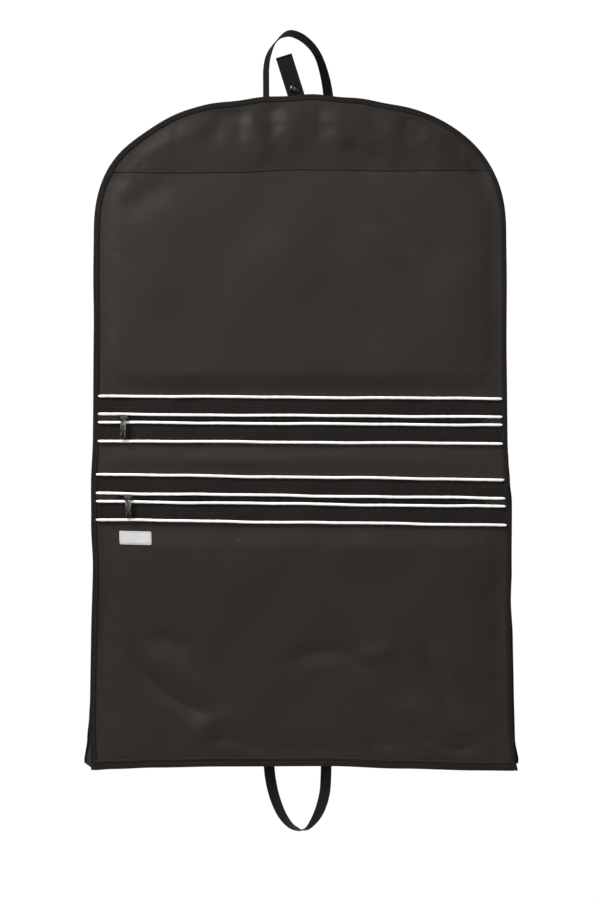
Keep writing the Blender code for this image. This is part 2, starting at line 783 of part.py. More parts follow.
def tab_plate(name, low_z, high, y, corner=0.0):
    """A layer of the tab from a level foot up to a height on the tab."""
    half = TAB_WIDE / 2
    foot = [(side * half, tab_height(side * half, low_z) + corner) for side in (-1, 1)]
    outline = [foot[0], foot[1], (half, high), (-half, high)]
    if corner:
        left = (-half + corner, tab_height(-half + corner, low_z))
        right = (half - corner, tab_height(half - corner, low_z))
        outline = [foot[0], left, right, foot[1], (half, high), (-half, high)]
    loops = []
    for layer_y in (y - TAB_THICK / 2, y + TAB_THICK / 2):
        loops.append([tab_point(across, height, layer_y) for across, height in outline])
    return loft(name, loops)


def tab_strap_mesh():
    """The fixed strap: up from the bag and over, in a half turn at its top."""
    half = TAB_WIDE / 2
    middle_y = (TAB_BACK_Y + TAB_FRONT_Y) / 2
    radius = (TAB_BACK_Y - TAB_FRONT_Y) / 2
    turn = math.pi - math.asin(TAB_FOLD_GAP / radius)
    path = [(TAB_BACK_Y, None, Vector((1.0, 0.0)))]
    for i in range(TAB_FOLD_STEPS + 1):
        angle = turn * i / TAB_FOLD_STEPS
        outward = Vector((math.cos(angle), math.sin(angle)))
        centre = outward * radius
        path.append((middle_y + centre.x, TAB_FOLD_HEIGHT + centre.y, outward))
    loops = []
    for y, height, outward in path:
        loop = []
        for side, face in ((-1, -1), (1, -1), (1, 1), (-1, 1)):
            across = side * half
            level = tab_height(across, TAB_FOOT_Z) if height is None else height
            shift = outward * face * TAB_THICK / 2
            loop.append(tab_point(across, level + shift.y, y + shift.x))
        loops.append(loop)
    return loft("tab_strap", loops)


def disc_mesh(name, radius, thick, crown=1.0):
    """A round piece with its flat face on the XZ plane, facing -Y and narrowed by `crown`."""
    bm = bmesh.new()
    bmesh.ops.create_cone(
        bm,
        cap_ends=True,
        segments=SNAP_SIDES,
        radius1=radius,
        radius2=radius * crown,
        depth=thick,
        matrix=Matrix.Translation((0, -thick / 2, 0)) @ Matrix.Rotation(math.pi / 2, 4, "X"),
    )
    return finished_mesh(name, bm, math.radians(30))


def build_snap_tab(materials):
    """A webbing tab that closes over the handle or hook with a snap."""
    add_object("tab_strap", tab_strap_mesh(), materials["webbing"])
    hinge = axis_empty("tab_flap_axis", tab_point(0.0, TAB_FOLD_HEIGHT, TAB_FRONT_Y))
    flap = tab_plate("tab_flap", TAB_FLAP_FOOT_Z, TAB_FOLD_HEIGHT, TAB_FRONT_Y, 0.003)
    add_object("tab_flap", flap, materials["webbing"], hinge)

    centre = tab_point(0.0, tab_height(0.0, SNAP_Z), 0.0)
    half = TAB_THICK / 2
    room = TAB_BACK_Y - TAB_FRONT_Y - TAB_THICK
    layer = (room - 3 * GAP) / 2
    pieces = (
        ("snap_stud", SNAP_STUD_RADIUS, layer, 1.0, TAB_BACK_Y - half - GAP, None),
        ("snap_socket", SNAP_SOCKET_RADIUS, layer, 1.0, TAB_BACK_Y - half - 2 * GAP - layer, hinge),
        (
            "snap_cap",
            SNAP_CAP_RADIUS,
            SNAP_CAP_THICK,
            SNAP_CAP_CROWN / SNAP_CAP_RADIUS,
            TAB_FRONT_Y - half - GAP,
            hinge,
        ),
    )
    for name, radius, thick, crown, y, parent in pieces:
        place = Matrix.Translation((centre.x, y, centre.z))
        mesh = disc_mesh(name, radius, thick, crown)
        add_object(name, mesh, materials["snap"], parent, place)


# ---------------------------------------------------------------- the whole bag


def build_bag():
    """The upper half is fixed; the lower half and all on it hang from the fold's axis."""
    for obj in list(bpy.data.objects):
        bpy.data.objects.remove(obj, do_unlink=True)
    materials = make_materials()
    fold = axis_empty("fold_axis", (0.0, FOLD_Y, FOLD_Z))
    build_front_panels(materials, fold)
    build_pocket(
        1, POCKET_1_ROWS, POCKET_1_SLOPE, POCKET_1_LINING_Z, POCKET_1_SLIDER_X, materials, None
    )
    build_pocket(
        2, POCKET_2_ROWS, POCKET_2_SLOPE, POCKET_2_LINING_Z, POCKET_2_SLIDER_X, materials, fold
    )
    build_label(materials, fold)
    build_back(materials, fold)
    build_gussets(materials, fold)
    build_hanger_slot(materials)
    build_bindings(materials, fold)
    build_handles(materials, fold)
    build_snap_tab(materials)


build_bag()
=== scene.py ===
"""The looks of a hanging garment bag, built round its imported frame.

Units are metres and +Z is up. The bag hangs at rest with its front towards -Y, and the origin
is the middle of its top edge. Every piece is made as a mesh of its own, from the same drape.
"""

import logging
import math
from collections.abc import Callable, Iterable, Sequence
from dataclasses import dataclass, field
from enum import Enum

import bmesh
import bpy
import numpy as np
from mathutils import Matrix, Vector


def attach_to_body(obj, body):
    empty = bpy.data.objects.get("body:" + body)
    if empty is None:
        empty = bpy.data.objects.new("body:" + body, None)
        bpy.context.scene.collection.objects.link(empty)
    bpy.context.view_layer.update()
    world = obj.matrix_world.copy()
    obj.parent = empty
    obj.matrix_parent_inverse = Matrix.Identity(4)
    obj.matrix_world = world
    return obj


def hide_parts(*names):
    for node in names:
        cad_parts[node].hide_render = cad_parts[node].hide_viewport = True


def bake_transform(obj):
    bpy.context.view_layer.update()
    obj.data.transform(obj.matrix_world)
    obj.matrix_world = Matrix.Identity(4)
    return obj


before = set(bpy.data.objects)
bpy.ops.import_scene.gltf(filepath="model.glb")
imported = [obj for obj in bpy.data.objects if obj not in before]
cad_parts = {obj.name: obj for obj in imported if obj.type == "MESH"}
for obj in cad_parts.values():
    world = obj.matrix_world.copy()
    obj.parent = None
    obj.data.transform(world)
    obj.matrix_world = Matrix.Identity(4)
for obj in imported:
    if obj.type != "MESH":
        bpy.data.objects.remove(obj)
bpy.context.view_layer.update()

log = logging.getLogger("garment_bag")

Points = np.ndarray
UPPER, LOWER = "upper_half", "lower_half"


# ---------------------------------------------------------------- node groups


class Wiring:
    """A small helper that places nodes in a tree and links them."""

    def __init__(self, tree: bpy.types.NodeTree) -> None:
        """Keep the tree that nodes go in."""
        self.tree = tree

    def node(self, kind: str, **settings: object) -> bpy.types.Node:
        """Add a node and set its properties.

        Args:
            kind: the node's Blender type name.
            settings: properties of the node.

        Returns:
            The new node.
        """
        made = self.tree.nodes.new(kind)
        for key, value in settings.items():
            setattr(made, key, value)
        return made

    def put(self, value: object, socket: bpy.types.NodeSocket) -> None:
        """Link an output to a socket, or set the socket to a plain value."""
        if isinstance(value, bpy.types.NodeSocket):
            self.tree.links.new(value, socket)
        elif value is not None:
            socket.default_value = value

    def math(self, operation: str, a: object, b: object = None, c: object = None) -> bpy.types.NodeSocket:
        """A Math node's result.

        Args:
            operation: the Math node's operation.
            a: first value or socket.
            b: second value or socket.
            c: third value or socket.

        Returns:
            The output socket.
        """
        made = self.node("ShaderNodeMath", operation=operation)
        for value, socket in zip((a, b, c), made.inputs):
            self.put(value, socket)
        return made.outputs[0]

    def mix(self, share: object, a: object, b: object, blend: str = "MIX") -> bpy.types.NodeSocket:
        """A colour mix.

        Args:
            share: how much of b shows.
            a: first colour or socket.
            b: second colour or socket.
            blend: the blend type.

        Returns:
            The colour output.
        """
        made = self.node("ShaderNodeMix", data_type="RGBA", blend_type=blend, clamp_factor=True)
        self.put(share, made.inputs[0])
        self.put(a, made.inputs[6])
        self.put(b, made.inputs[7])
        return made.outputs[2]

    def noise(self, vector: object, scale: float, detail: float = 3.0,
              roughness: float = 0.55) -> bpy.types.NodeSocket:
        """A noise texture's value at a scale in cycles a metre.

        Args:
            vector: the coordinates.
            scale: cycles a metre.
            detail: octaves.
            roughness: how strong the finer octaves are.

        Returns:
            The value output.
        """
        made = self.node("ShaderNodeTexNoise", noise_dimensions="3D")
        self.put(vector, made.inputs["Vector"])
        self.put(scale, made.inputs["Scale"])
        self.put(detail, made.inputs["Detail"])
        self.put(roughness, made.inputs["Roughness"])
        return made.outputs[0]

    def ramp(self, value: object, low: float, high: float, to_low: float = 0.0,
             to_high: float = 1.0) -> bpy.types.NodeSocket:
        """A smooth clamped change of range.

        Args:
            value: the value or socket.
            low: the value that becomes to_low.
            high: the value that becomes to_high.
            to_low: the lowest result.
            to_high: the highest result.

        Returns:
            The output socket.
        """
        made = self.node("ShaderNodeMapRange", interpolation_type="SMOOTHSTEP", clamp=True)
        for item, socket in zip((value, low, high, to_low, to_high), made.inputs):
            self.put(item, socket)
        return made.outputs[0]


class Socket(Enum):
    """The kinds of socket that the node groups use."""

    NUMBER = "NodeSocketFloat"
    COLOUR = "NodeSocketColor"
    VECTOR = "NodeSocketVector"


@dataclass
class EffectGroup:
    """A shader node group, made once and used by several finishes."""

    name: str
    inputs: dict[str, tuple[Socket, object]]
    outputs: dict[str, Socket]
    build: Callable[[Wiring, dict[str, bpy.types.NodeSocket]], dict[str, bpy.types.NodeSocket]]
    tree: bpy.types.NodeTree | None = None

    def made(self) -> bpy.types.NodeTree:
        """Build the group's tree on first use.

        Returns:
            The group's node tree.
        """
        if self.tree is not None:
            return self.tree
        self.tree = bpy.data.node_groups.new(self.name, "ShaderNodeTree")
        for name, (kind, value) in self.inputs.items():
            socket = self.tree.interface.new_socket(name, in_out="INPUT", socket_type=kind.value)
            if value is not None:
                socket.default_value = value
        for name, kind in self.outputs.items():
            self.tree.interface.new_socket(name, in_out="OUTPUT", socket_type=kind.value)
        wiring = Wiring(self.tree)
        source = wiring.node("NodeGroupInput")
        target = wiring.node("NodeGroupOutput")
        results = self.build(wiring, {name: source.outputs[name] for name in self.inputs})
        for name, socket in results.items():
            wiring.put(socket, target.inputs[name])
        return self.tree

    def place(self, wiring: Wiring, **values: object) -> dict[str, bpy.types.NodeSocket]:
        """Put the group in a material.

        Args:
            wiring: the material's wiring.
            values: the group's inputs, with _ for a space in a name.

        Returns:
            Each output by name.
        """
        node = wiring.node("ShaderNodeGroup", node_tree=self.made())
        for key, value in values.items():
            wiring.put(value, node.inputs[key.replace("_", " ")])
        return {name: node.outputs[name] for name in self.outputs}


def build_weave(w: Wiring, given: dict[str, bpy.types.NodeSocket]) -> dict[str, bpy.types.NodeSocket]:
    """Crossing threads: plain weave at Twill 0, slanting ribs at Twill 1.

    Args:
        w: the group's wiring.
        given: the group's inputs.

    Returns:
        Height and Shade, both from 0 to 1.
    """
    split = w.node("ShaderNodeSeparateXYZ")
    w.put(given["Place"], split.inputs[0])
    turn = 2 * math.pi
    across = w.math("MULTIPLY", w.math("MULTIPLY", split.outputs[0], given["Threads Across"]), turn)
    along = w.math("MULTIPLY", w.math("MULTIPLY", split.outputs[1], given["Threads Along"]), turn)
    plain = w.math("MULTIPLY", w.math("SINE", across), w.math("SINE", along))
    slant = w.math("SINE", w.math("ADD", across, along))
    mixed = w.node("ShaderNodeMix", data_type="FLOAT")
    w.put(given["Twill"], mixed.inputs[0])
    w.put(plain, mixed.inputs[2])
    w.put(slant, mixed.inputs[3])
    uneven = w.noise(given["Place"], 900.0, 2.0)
    height = w.math("MULTIPLY_ADD", mixed.outputs[0], 0.4, w.math("MULTIPLY_ADD", uneven, 0.3, 0.35))
    shade = w.math("MULTIPLY_ADD", mixed.outputs[0], 0.25, 0.5)
    return {"Height": height, "Shade": shade}


def build_mottle(w: Wiring, given: dict[str, bpy.types.NodeSocket]) -> dict[str, bpy.types.NodeSocket]:
    """Cloth colour that drifts over the surface, with handled patches and fine slubs.

    Args:
        w: the group's wiring.
        given: the group's inputs.

    Returns:
        Colour, and Wear as a mask.
    """
    wide = w.noise(given["Place"], 7.0, 4.0, 0.6)
    fine = w.noise(given["Place"], 160.0, 3.0, 0.7)
    stretch = w.node("ShaderNodeMapping", vector_type="POINT")
    w.put(given["Place"], stretch.inputs[0])
    stretch.inputs["Scale"].default_value = (1.0, 1.0, 0.04)
    slub = w.noise(stretch.outputs[0], 700.0, 1.0)
    drift = w.math("SUBTRACT", w.math("ADD", w.math("MULTIPLY", wide, 0.6), w.math("MULTIPLY", fine, 0.4)),
                   0.5)
    drift = w.math("ADD", drift, w.math("MULTIPLY", w.math("SUBTRACT", slub, 0.5), 0.35))
    level = w.math("MULTIPLY_ADD", drift, w.math("MULTIPLY", given["Strength"], 2.0), 1.0)
    weave = w.math("MULTIPLY_ADD", w.math("SUBTRACT", given["Shade"], 0.5), given["Strength"], level)
    scaled = w.node("ShaderNodeVectorMath", operation="SCALE")
    w.put(given["Cloth"], scaled.inputs[0])
    w.put(weave, scaled.inputs["Scale"])
    wear = w.ramp(wide, 0.52, 0.72)
    colour = w.mix(w.math("MULTIPLY", wear, given["Handled"]), scaled.outputs[0], given["Worn"])
    return {"Colour": colour, "Wear": wear}


def build_edge_wear_and_highlight(w: Wiring, given: dict[str, bpy.types.NodeSocket]) -> dict[str, bpy.types.NodeSocket]:
    """Bright edges, partly rubbed wear and partly painted highlight, and fine scratches for metal.

    Args:
        w: the group's wiring.
        given: the group's inputs.

    Returns:
        Edge and Scratch masks, and a Height.
    """
    geometry = w.node("ShaderNodeNewGeometry")
    edge = w.ramp(geometry.outputs["Pointiness"], 0.52, 0.62)
    broken = w.ramp(w.noise(given["Place"], 600.0, 4.0, 0.65), 0.35, 0.65)
    stretch = w.node("ShaderNodeMapping", vector_type="POINT")
    w.put(given["Place"], stretch.inputs[0])
    stretch.inputs["Scale"].default_value = (1.0, 1.0, 0.08)
    stretch.inputs["Rotation"].default_value = (0.0, 0.35, 0.0)
    lines = w.noise(stretch.outputs[0], 3500.0, 2.0)
    scratch = w.ramp(lines, 0.60, 0.72)
    # The edge mask brightens edges: partly rubbed wear, partly painted highlight.
    worn = w.math("MULTIPLY", w.math("MULTIPLY", edge, broken), given["Amount"])
    return {"Edge": worn, "Scratch": scratch, "Height": lines}


def build_dust(w: Wiring, given: dict[str, bpy.types.NodeSocket]) -> dict[str, bpy.types.NodeSocket]:
    """Sparse specks of lint.

    Args:
        w: the group's wiring.
        given: the group's inputs.

    Returns:
        A mask from 0 to 1.
    """
    cells = w.node("ShaderNodeTexVoronoi", feature="F1", distance="EUCLIDEAN")
    w.put(given["Place"], cells.inputs["Vector"])
    cells.inputs["Scale"].default_value = 130.0
    speck = w.ramp(cells.outputs["Distance"], 0.10, 0.04)
    chosen = w.ramp(w.noise(given["Place"], 40.0, 1.0), 0.60, 0.66)
    return {"Lint": w.math("MULTIPLY", w.math("MULTIPLY", speck, chosen), given["Amount"])}


WEAVE = EffectGroup(
    "woven_threads",
    {
        "Place": (Socket.VECTOR, None),
        "Threads Across": (Socket.NUMBER, 1000.0),
        "Threads Along": (Socket.NUMBER, 1000.0),
        "Twill": (Socket.NUMBER, 0.0),
    },
    {"Height": Socket.NUMBER, "Shade": Socket.NUMBER},
    build_weave,
)
MOTTLE = EffectGroup(
    "cloth_colour",
    {
        "Place": (Socket.VECTOR, None),
        "Shade": (Socket.NUMBER, 0.5),
        "Cloth": (Socket.COLOUR, (0.05, 0.05, 0.05, 1.0)),
        "Worn": (Socket.COLOUR, (0.08, 0.08, 0.08, 1.0)),
        "Strength": (Socket.NUMBER, 0.2),
        "Handled": (Socket.NUMBER, 0.1),
    },
    {"Colour": Socket.COLOUR, "Wear": Socket.NUMBER},
    build_mottle,
)
EDGE_WEAR_AND_HIGHLIGHT = EffectGroup(
    "metal_edge_wear_and_highlight",
    {"Place": (Socket.VECTOR, None), "Amount": (Socket.NUMBER, 0.6)},
    {"Edge": Socket.NUMBER, "Scratch": Socket.NUMBER, "Height": Socket.NUMBER},
    build_edge_wear_and_highlight,
)
DUST = EffectGroup(
    "lint_specks",
    {"Place": (Socket.VECTOR, None), "Amount": (Socket.NUMBER, 0.3)},
    {"Lint": Socket.NUMBER},
    build_dust,
)


# ---------------------------------------------------------------- finishes


def blank_material(name: str) -> tuple[bpy.types.Material, Wiring, bpy.types.Node]:
    """A node material that holds only a Principled shader.

    Args:
        name: the material's name.

    Returns:
        The material, its wiring and the shader.
    """
    material = bpy.data.materials.new(name)
    material.use_nodes = True
    wiring = Wiring(material.node_tree)
    return material, wiring, material.node_tree.nodes["Principled BSDF"]


@dataclass(frozen=True)
class ClothFinish:
    """A woven cloth: its colour, its threads, and how it shines."""

    name: str
    slot: str
    colour: tuple[float, float, float]
    threads: tuple[float, float] = (1500.0, 1500.0)
    twill: float = 0.0
    roughness: float = 0.6
    sheen: float = 0.25
    sheen_roughness: float = 0.45
    specular: float = 0.35
    bump: float = 0.00006
    mottle: float = 0.16
    handled: float = 0.12
    lint: float = 0.25

    def material(self) -> bpy.types.Material:
        """Build the cloth's material.

        Returns:
            The material.
        """
        material, w, shader = blank_material(self.name)
        uv = w.node("ShaderNodeUVMap", uv_map="Cloth").outputs[0]
        place = w.node("ShaderNodeTexCoord").outputs["Object"]
        across, along = self.threads
        weave = WEAVE.place(w, Place=uv, Threads_Across=across, Threads_Along=along, Twill=self.twill)
        cloth = (*self.colour, 1.0)
        worn = (*(min(1.0, 1.35 * c + 0.004) for c in self.colour), 1.0)
        tone = MOTTLE.place(
            w, Place=place, Shade=weave["Shade"], Cloth=cloth, Worn=worn,
            Strength=self.mottle, Handled=self.handled,
        )
        lint = DUST.place(w, Place=place, Amount=self.lint)["Lint"]
        colour = w.mix(lint, tone["Colour"], (0.30, 0.29, 0.27, 1.0))
        w.put(colour, shader.inputs["Base Color"])
        low, high = max(self.roughness - 0.06, 0.05), min(self.roughness + 0.07, 1.0)
        w.put(w.ramp(tone["Wear"], 0.0, 1.0, high, low), shader.inputs["Roughness"])
        shader.inputs["Sheen Weight"].default_value = self.sheen
        shader.inputs["Sheen Roughness"].default_value = self.sheen_roughness
        shader.inputs["Specular IOR Level"].default_value = self.specular
        bump = w.node("ShaderNodeBump")
        bump.inputs["Strength"].default_value = 0.6
        bump.inputs["Distance"].default_value = self.bump
        w.put(weave["Height"], bump.inputs["Height"])
        w.put(bump.outputs[0], shader.inputs["Normal"])
        return material


@dataclass(frozen=True)
class MetalFinish:
    """Plated or painted metal whose edges are painted brighter: partly rubbed wear, partly painted highlight.
    """

    name: str
    slot: str
    colour: tuple[float, float, float]
    bright: tuple[float, float, float]
    roughness: float = 0.32
    # How strongly the edges are brightened, as rubbed wear and painted highlight.
    wear: float = 0.6

    def material(self) -> bpy.types.Material:
        """Build the metal's material.

        Returns:
            The material.
        """
        material, w, shader = blank_material(self.name)
        place = w.node("ShaderNodeTexCoord").outputs["Object"]
        wear = EDGE_WEAR_AND_HIGHLIGHT.place(w, Place=place, Amount=self.wear)
        dull = w.noise(place, 250.0, 4.0, 0.6)
        base = w.mix(w.ramp(dull, 0.35, 0.7, 0.0, 0.35), (*self.colour, 1.0),
                     (*(0.7 * c for c in self.colour), 1.0))
        # Edges painted towards the bright colour: painted highlight as well as rubbed wear.
        base = w.mix(wear["Edge"], base, (*self.bright, 1.0))
        base = w.mix(w.math("MULTIPLY", wear["Scratch"], 0.25), base, (*self.bright, 1.0))
        w.put(base, shader.inputs["Base Color"])
        shader.inputs["Metallic"].default_value = 1.0
        rough = w.ramp(dull, 0.3, 0.75, self.roughness - 0.07, self.roughness + 0.12)
        w.put(w.math("SUBTRACT", rough, w.math("MULTIPLY", wear["Edge"], 0.1)), shader.inputs["Roughness"])
        bump = w.node("ShaderNodeBump")
        bump.inputs["Strength"].default_value = 0.25
        bump.inputs["Distance"].default_value = 0.00004
        w.put(wear["Height"], bump.inputs["Height"])
        w.put(bump.outputs[0], shader.inputs["Normal"])
        return material


SHELL = ClothFinish("shell_satin", "shell_fabric", (0.0184, 0.0152, 0.0130), (2600.0, 2600.0), roughness=0.54,
                    sheen=0.03, specular=0.11, bump=0.00002, mottle=0.10, handled=0.05)
# SHELL_LOW is the shell cloth painted darker: painted shade, darker towards the bottom of the front; the back
# panels, hem, end tabs and bottom wall reuse it.
SHELL_LOW = ClothFinish("shell_satin_low", "shell_fabric", (0.0148, 0.0120, 0.0101), (2600.0, 2600.0),
                        roughness=0.54, sheen=0.03, specular=0.11, bump=0.00002, mottle=0.10, handled=0.05)
# The yoke's colour is darker than the shell's: painted shade for the cloth that curves back under the crown.
YOKE = ClothFinish("yoke_satin", "yoke_fabric", (0.0140, 0.0114, 0.0097), (2200.0, 2200.0), roughness=0.54,
                   sheen=0.03, specular=0.11, bump=0.00003, mottle=0.12, handled=0.05)
RIBBED = ClothFinish("ribbed_knit", "ribbed_band", (0.0100, 0.0082, 0.0073), (1100.0, 1400.0), roughness=0.58,
                     sheen=0.03, specular=0.06, bump=0.00010, mottle=0.30)
BINDING = ClothFinish("binding_tape", "binding_tape", (0.0094, 0.0079, 0.0069), (900.0, 1400.0), 0.25,
                      roughness=0.60, sheen=0.03, specular=0.06, bump=0.00012, mottle=0.22)
THREAD = ClothFinish("stitch_thread", "binding_tape", (0.0190, 0.0170, 0.0155), (4000.0, 2500.0), 1.0,
                     roughness=0.45, sheen=0.05, specular=0.3, bump=0.00005, mottle=0.2, lint=0.0)
WEBBING = ClothFinish("webbing_weave", "webbing", (0.0046, 0.0036, 0.0030), (620.0, 900.0), 0.5,
                      roughness=0.60, sheen=0.03, specular=0.08, bump=0.00022, mottle=0.30)
PIPING = ClothFinish("white_piping_satin", "white_piping", (0.78, 0.775, 0.76), (900.0, 1500.0), 1.0,
                     roughness=0.5, sheen=0.1, specular=0.3, bump=0.00008, mottle=0.05, handled=0.0, lint=0.0)
ZIP_TAPE = ClothFinish("zip_tape_knit", "zip_tape", (0.0085, 0.0074, 0.0067), (1200.0, 900.0), 0.7,
                       roughness=0.66, sheen=0.02, specular=0.1, bump=0.00012, mottle=0.25)
COIL = ClothFinish("zip_coil_nylon", "zip_tape", (0.0110, 0.0100, 0.0092), (3000.0, 3000.0), roughness=0.34,
                   sheen=0.0, specular=0.3, bump=0.00001, mottle=0.15, lint=0.1)
LINING = ClothFinish("pocket_lining_taffeta", "pocket_lining", (0.0200, 0.0180, 0.0165), (1800.0, 1800.0),
                     roughness=0.58, sheen=0.03, specular=0.15, bump=0.00003)
LABEL = ClothFinish("label_satin", "label_fabric", (0.38, 0.375, 0.37), (1400.0, 2200.0), 0.2, roughness=0.45,
                    sheen=0.1, specular=0.3, bump=0.00005, mottle=0.08, handled=0.0, lint=0.05)
LABEL_THREAD = ClothFinish("label_thread", "label_fabric", (0.30, 0.29, 0.28), (4000.0, 2500.0), 1.0,
                           roughness=0.5, bump=0.00004, mottle=0.1, lint=0.0)
# The bright colours paint highlights along the edges, as well as rubbed plating.
GUNMETAL = MetalFinish("gunmetal_plate", "zip_metal", (0.024, 0.022, 0.020), (0.30, 0.29, 0.27), 0.34, 0.8)
SNAP = MetalFinish("snap_black_nickel", "snap_metal", (0.018, 0.017, 0.016), (0.45, 0.44, 0.43), 0.26, 0.6)


class FinishShelf:
    """Every finish's material, made once."""

    def __init__(self) -> None:
        """Start with nothing made."""
        self.made: dict[str, bpy.types.Material] = {}

    def dress(self, piece: bpy.types.Object, finish: ClothFinish | MetalFinish) -> None:
        """Give a piece its finish.

        Args:
            piece: the object.
            finish: its finish.
        """
        if finish.name not in self.made:
            self.made[finish.name] = finish.material()
        piece.data.materials.clear()
        piece.data.materials.append(self.made[finish.name])


SHELF = FinishShelf()


# ---------------------------------------------------------------- meshes


def add_piece(name: str, points: Points, faces: Iterable[Sequence[int]], uv: Points | None = None,
              sharp: float | None = 40.0) -> bpy.types.Object:
    """A mesh object with smooth faces that point outwards.

    Args:
        name: the piece's name.
        points: its vertices.
        faces: its faces, as rows of vertex numbers.
        uv: a (u, v) in metres for each vertex, or None to take x and z.
        sharp: edges sharper than this many degrees stay sharp.

    Returns:
        The object.
    """
    mesh = bpy.data.meshes.new(name)
    points = np.asarray(points, float)
    mesh.from_pydata(points.tolist(), [], [tuple(int(i) for i in face) for face in faces])
    layer = mesh.uv_layers.new(name="Cloth")
    flat = points[:, [0, 2]] if uv is None else np.asarray(uv, float)
    corners = np.zeros(len(mesh.loops), np.int32)
    mesh.loops.foreach_get("vertex_index", corners)
    layer.data.foreach_set("uv", flat[corners].astype(np.float32).ravel())
    bm = bmesh.new()
    bm.from_mesh(mesh)
    bmesh.ops.recalc_face_normals(bm, faces=bm.faces)
    bm.to_mesh(mesh)
    bm.free()
    mesh.shade_smooth()
    if sharp is not None:
        mesh.set_sharp_from_angle(angle=math.radians(sharp))
    piece = bpy.data.objects.new(name, mesh)
    bpy.context.scene.collection.objects.link(piece)
    return piece


def unit(vectors: Points) -> Points:
    """Vectors of length one, along the last axis."""
    return vectors / np.maximum(np.linalg.norm(vectors, axis=-1, keepdims=True), 1e-12)


def grid_faces(rows: int, columns: int, start: int = 0) -> list[tuple[int, int, int, int]]:
    """The quads of a grid of points numbered row by row from start."""

    def corner(r: int, c: int) -> int:
        """The number of the point at a row and a column."""
        return start + r * columns + c

    return [
        (corner(r, c), corner(r, c + 1), corner(r + 1, c + 1), corner(r + 1, c))
        for r in range(rows - 1)
        for c in range(columns - 1)
    ]


def rim_loop(rows: int, columns: int) -> list[int]:
    """The numbers of the points round a grid's rim, in order."""
    top = list(range(columns))
    right = [r * columns + columns - 1 for r in range(1, rows)]
    foot = [(rows - 1) * columns + c for c in range(columns - 2, -1, -1)]
    left = [r * columns for r in range(rows - 2, 0, -1)]
    return [*top, *right, *foot, *left]


def sheet_solid(name: str, middle: Points, thick: float, uv: Points) -> bpy.types.Object:
    """A closed thin layer of cloth about a grid of points.

    Args:
        name: the piece's name.
        middle: rows x columns x 3 points halfway through the layer.
        thick: its thickness.
        uv: rows x columns x 2 places on the flat cloth, in metres.

    Returns:
        The object.
    """
    rows, columns = middle.shape[:2]
    normal = unit(np.cross(np.gradient(middle, axis=1), np.gradient(middle, axis=0)))
    count = rows * columns
    points = np.concatenate([
        (middle + normal * thick / 2).reshape(-1, 3),
        (middle - normal * thick / 2).reshape(-1, 3),
    ])
    faces = grid_faces(rows, columns)
    faces += [tuple(reversed(face)) for face in grid_faces(rows, columns, count)]
    rim = rim_loop(rows, columns)
    for here, there in zip(rim, [*rim[1:], rim[0]]):
        faces.append((there, here, here + count, there + count))
    return add_piece(name, points, faces, np.tile(uv.reshape(-1, 2), (2, 1)), 60.0)


def loft(name: str, rings: Points, closed: bool = False, uv: Points | None = None,
         sharp: float | None = 40.0) -> bpy.types.Object:
    """A tube through rings of points, capped at its ends unless it closes on itself.

    Args:
        name: the piece's name.
        rings: rings x sides x 3 points.
        closed: whether the last ring joins the first.
        uv: rings x sides x 2 places in metres.
        sharp: edges sharper than this many degrees stay sharp.

    Returns:
        The object.
    """
    points, faces = loft_parts(rings, closed)
    return add_piece(name, points, faces, None if uv is None else uv.reshape(-1, 2), sharp)


def loft_parts(rings: Points, closed: bool = False, start: int = 0) -> tuple[Points, list[tuple[int, ...]]]:
    """The points and faces of a tube through rings.

    Args:
        rings: rings x sides x 3 points.
        closed: whether the last ring joins the first.
        start: the number of the first point.

    Returns:
        The points and the faces.
    """
    count, sides = rings.shape[:2]
    faces: list[tuple[int, ...]] = []
    for i in range(count if closed else count - 1):
        here, there = start + i * sides, start + (i + 1) % count * sides
        for a in range(sides):
            b = (a + 1) % sides
            faces.append((here + a, here + b, there + b, there + a))
    if not closed:
        faces.append(tuple(start + a for a in reversed(range(sides))))
        faces.append(tuple(start + (count - 1) * sides + a for a in range(sides)))
    return rings.reshape(-1, 3), faces


def run_lengths(path: Points, closed: bool = False) -> Points:
    """How far along a path each of its points is.

    Args:
        path: points of the path.
        closed: whether the path returns to its start, which adds one length.

    Returns:
        The lengths.
    """
    steps = np.linalg.norm(np.diff(path, axis=0), axis=1)
    lengths = np.concatenate([[0.0], np.cumsum(steps)])
    if closed:
        lengths = np.append(lengths, lengths[-1] + np.linalg.norm(path[0] - path[-1]))
    return lengths


def resampled(path: Points, spacing: float, closed: bool = False) -> Points:
    """The same path with points at an even spacing.

    Args:
        path: points of the path.
        spacing: the wanted distance between points.
        closed: whether the path returns to its start.

    Returns:
        The new points, without a repeat of the first.
    """
    full = np.vstack([path, path[:1]]) if closed else path
    lengths = run_lengths(full)
    count = max(int(round(lengths[-1] / spacing)), 2)
    places = np.linspace(0, lengths[-1], count + 1)
    if closed:
        places = places[:-1]
    return np.stack([np.interp(places, lengths, full[:, k]) for k in range(full.shape[1])], axis=1)


def tangents(path: Points, closed: bool = False) -> Points:
    """Unit directions along a path."""
    if closed:
        return unit(np.roll(path, -1, axis=0) - np.roll(path, 1, axis=0))
    return unit(np.gradient(path, axis=0))


def smooth_route(points: Sequence[Sequence[float]], steps: int) -> Points:
    """Points on a Catmull-Rom curve through rows of numbers of any length.

    Args:
        points: the rows.
        steps: points for each span.

    Returns:
        The curve's points.
    """
    rows = np.array(points, float)
    rows = np.vstack([2 * rows[0] - rows[1], rows, 2 * rows[-1] - rows[-2]])
    out = []
    for a, b, c, d in zip(rows, rows[1:], rows[2:], rows[3:]):
        t = (np.arange(steps) / steps)[:, None]
        bend = (2 * a - 5 * b + 4 * c - d) * t**2 + (3 * b - a - 3 * c + d) * t**3
        out.append(b + ((c - a) * t + bend) / 2)
    return np.vstack([*out, rows[-2]])


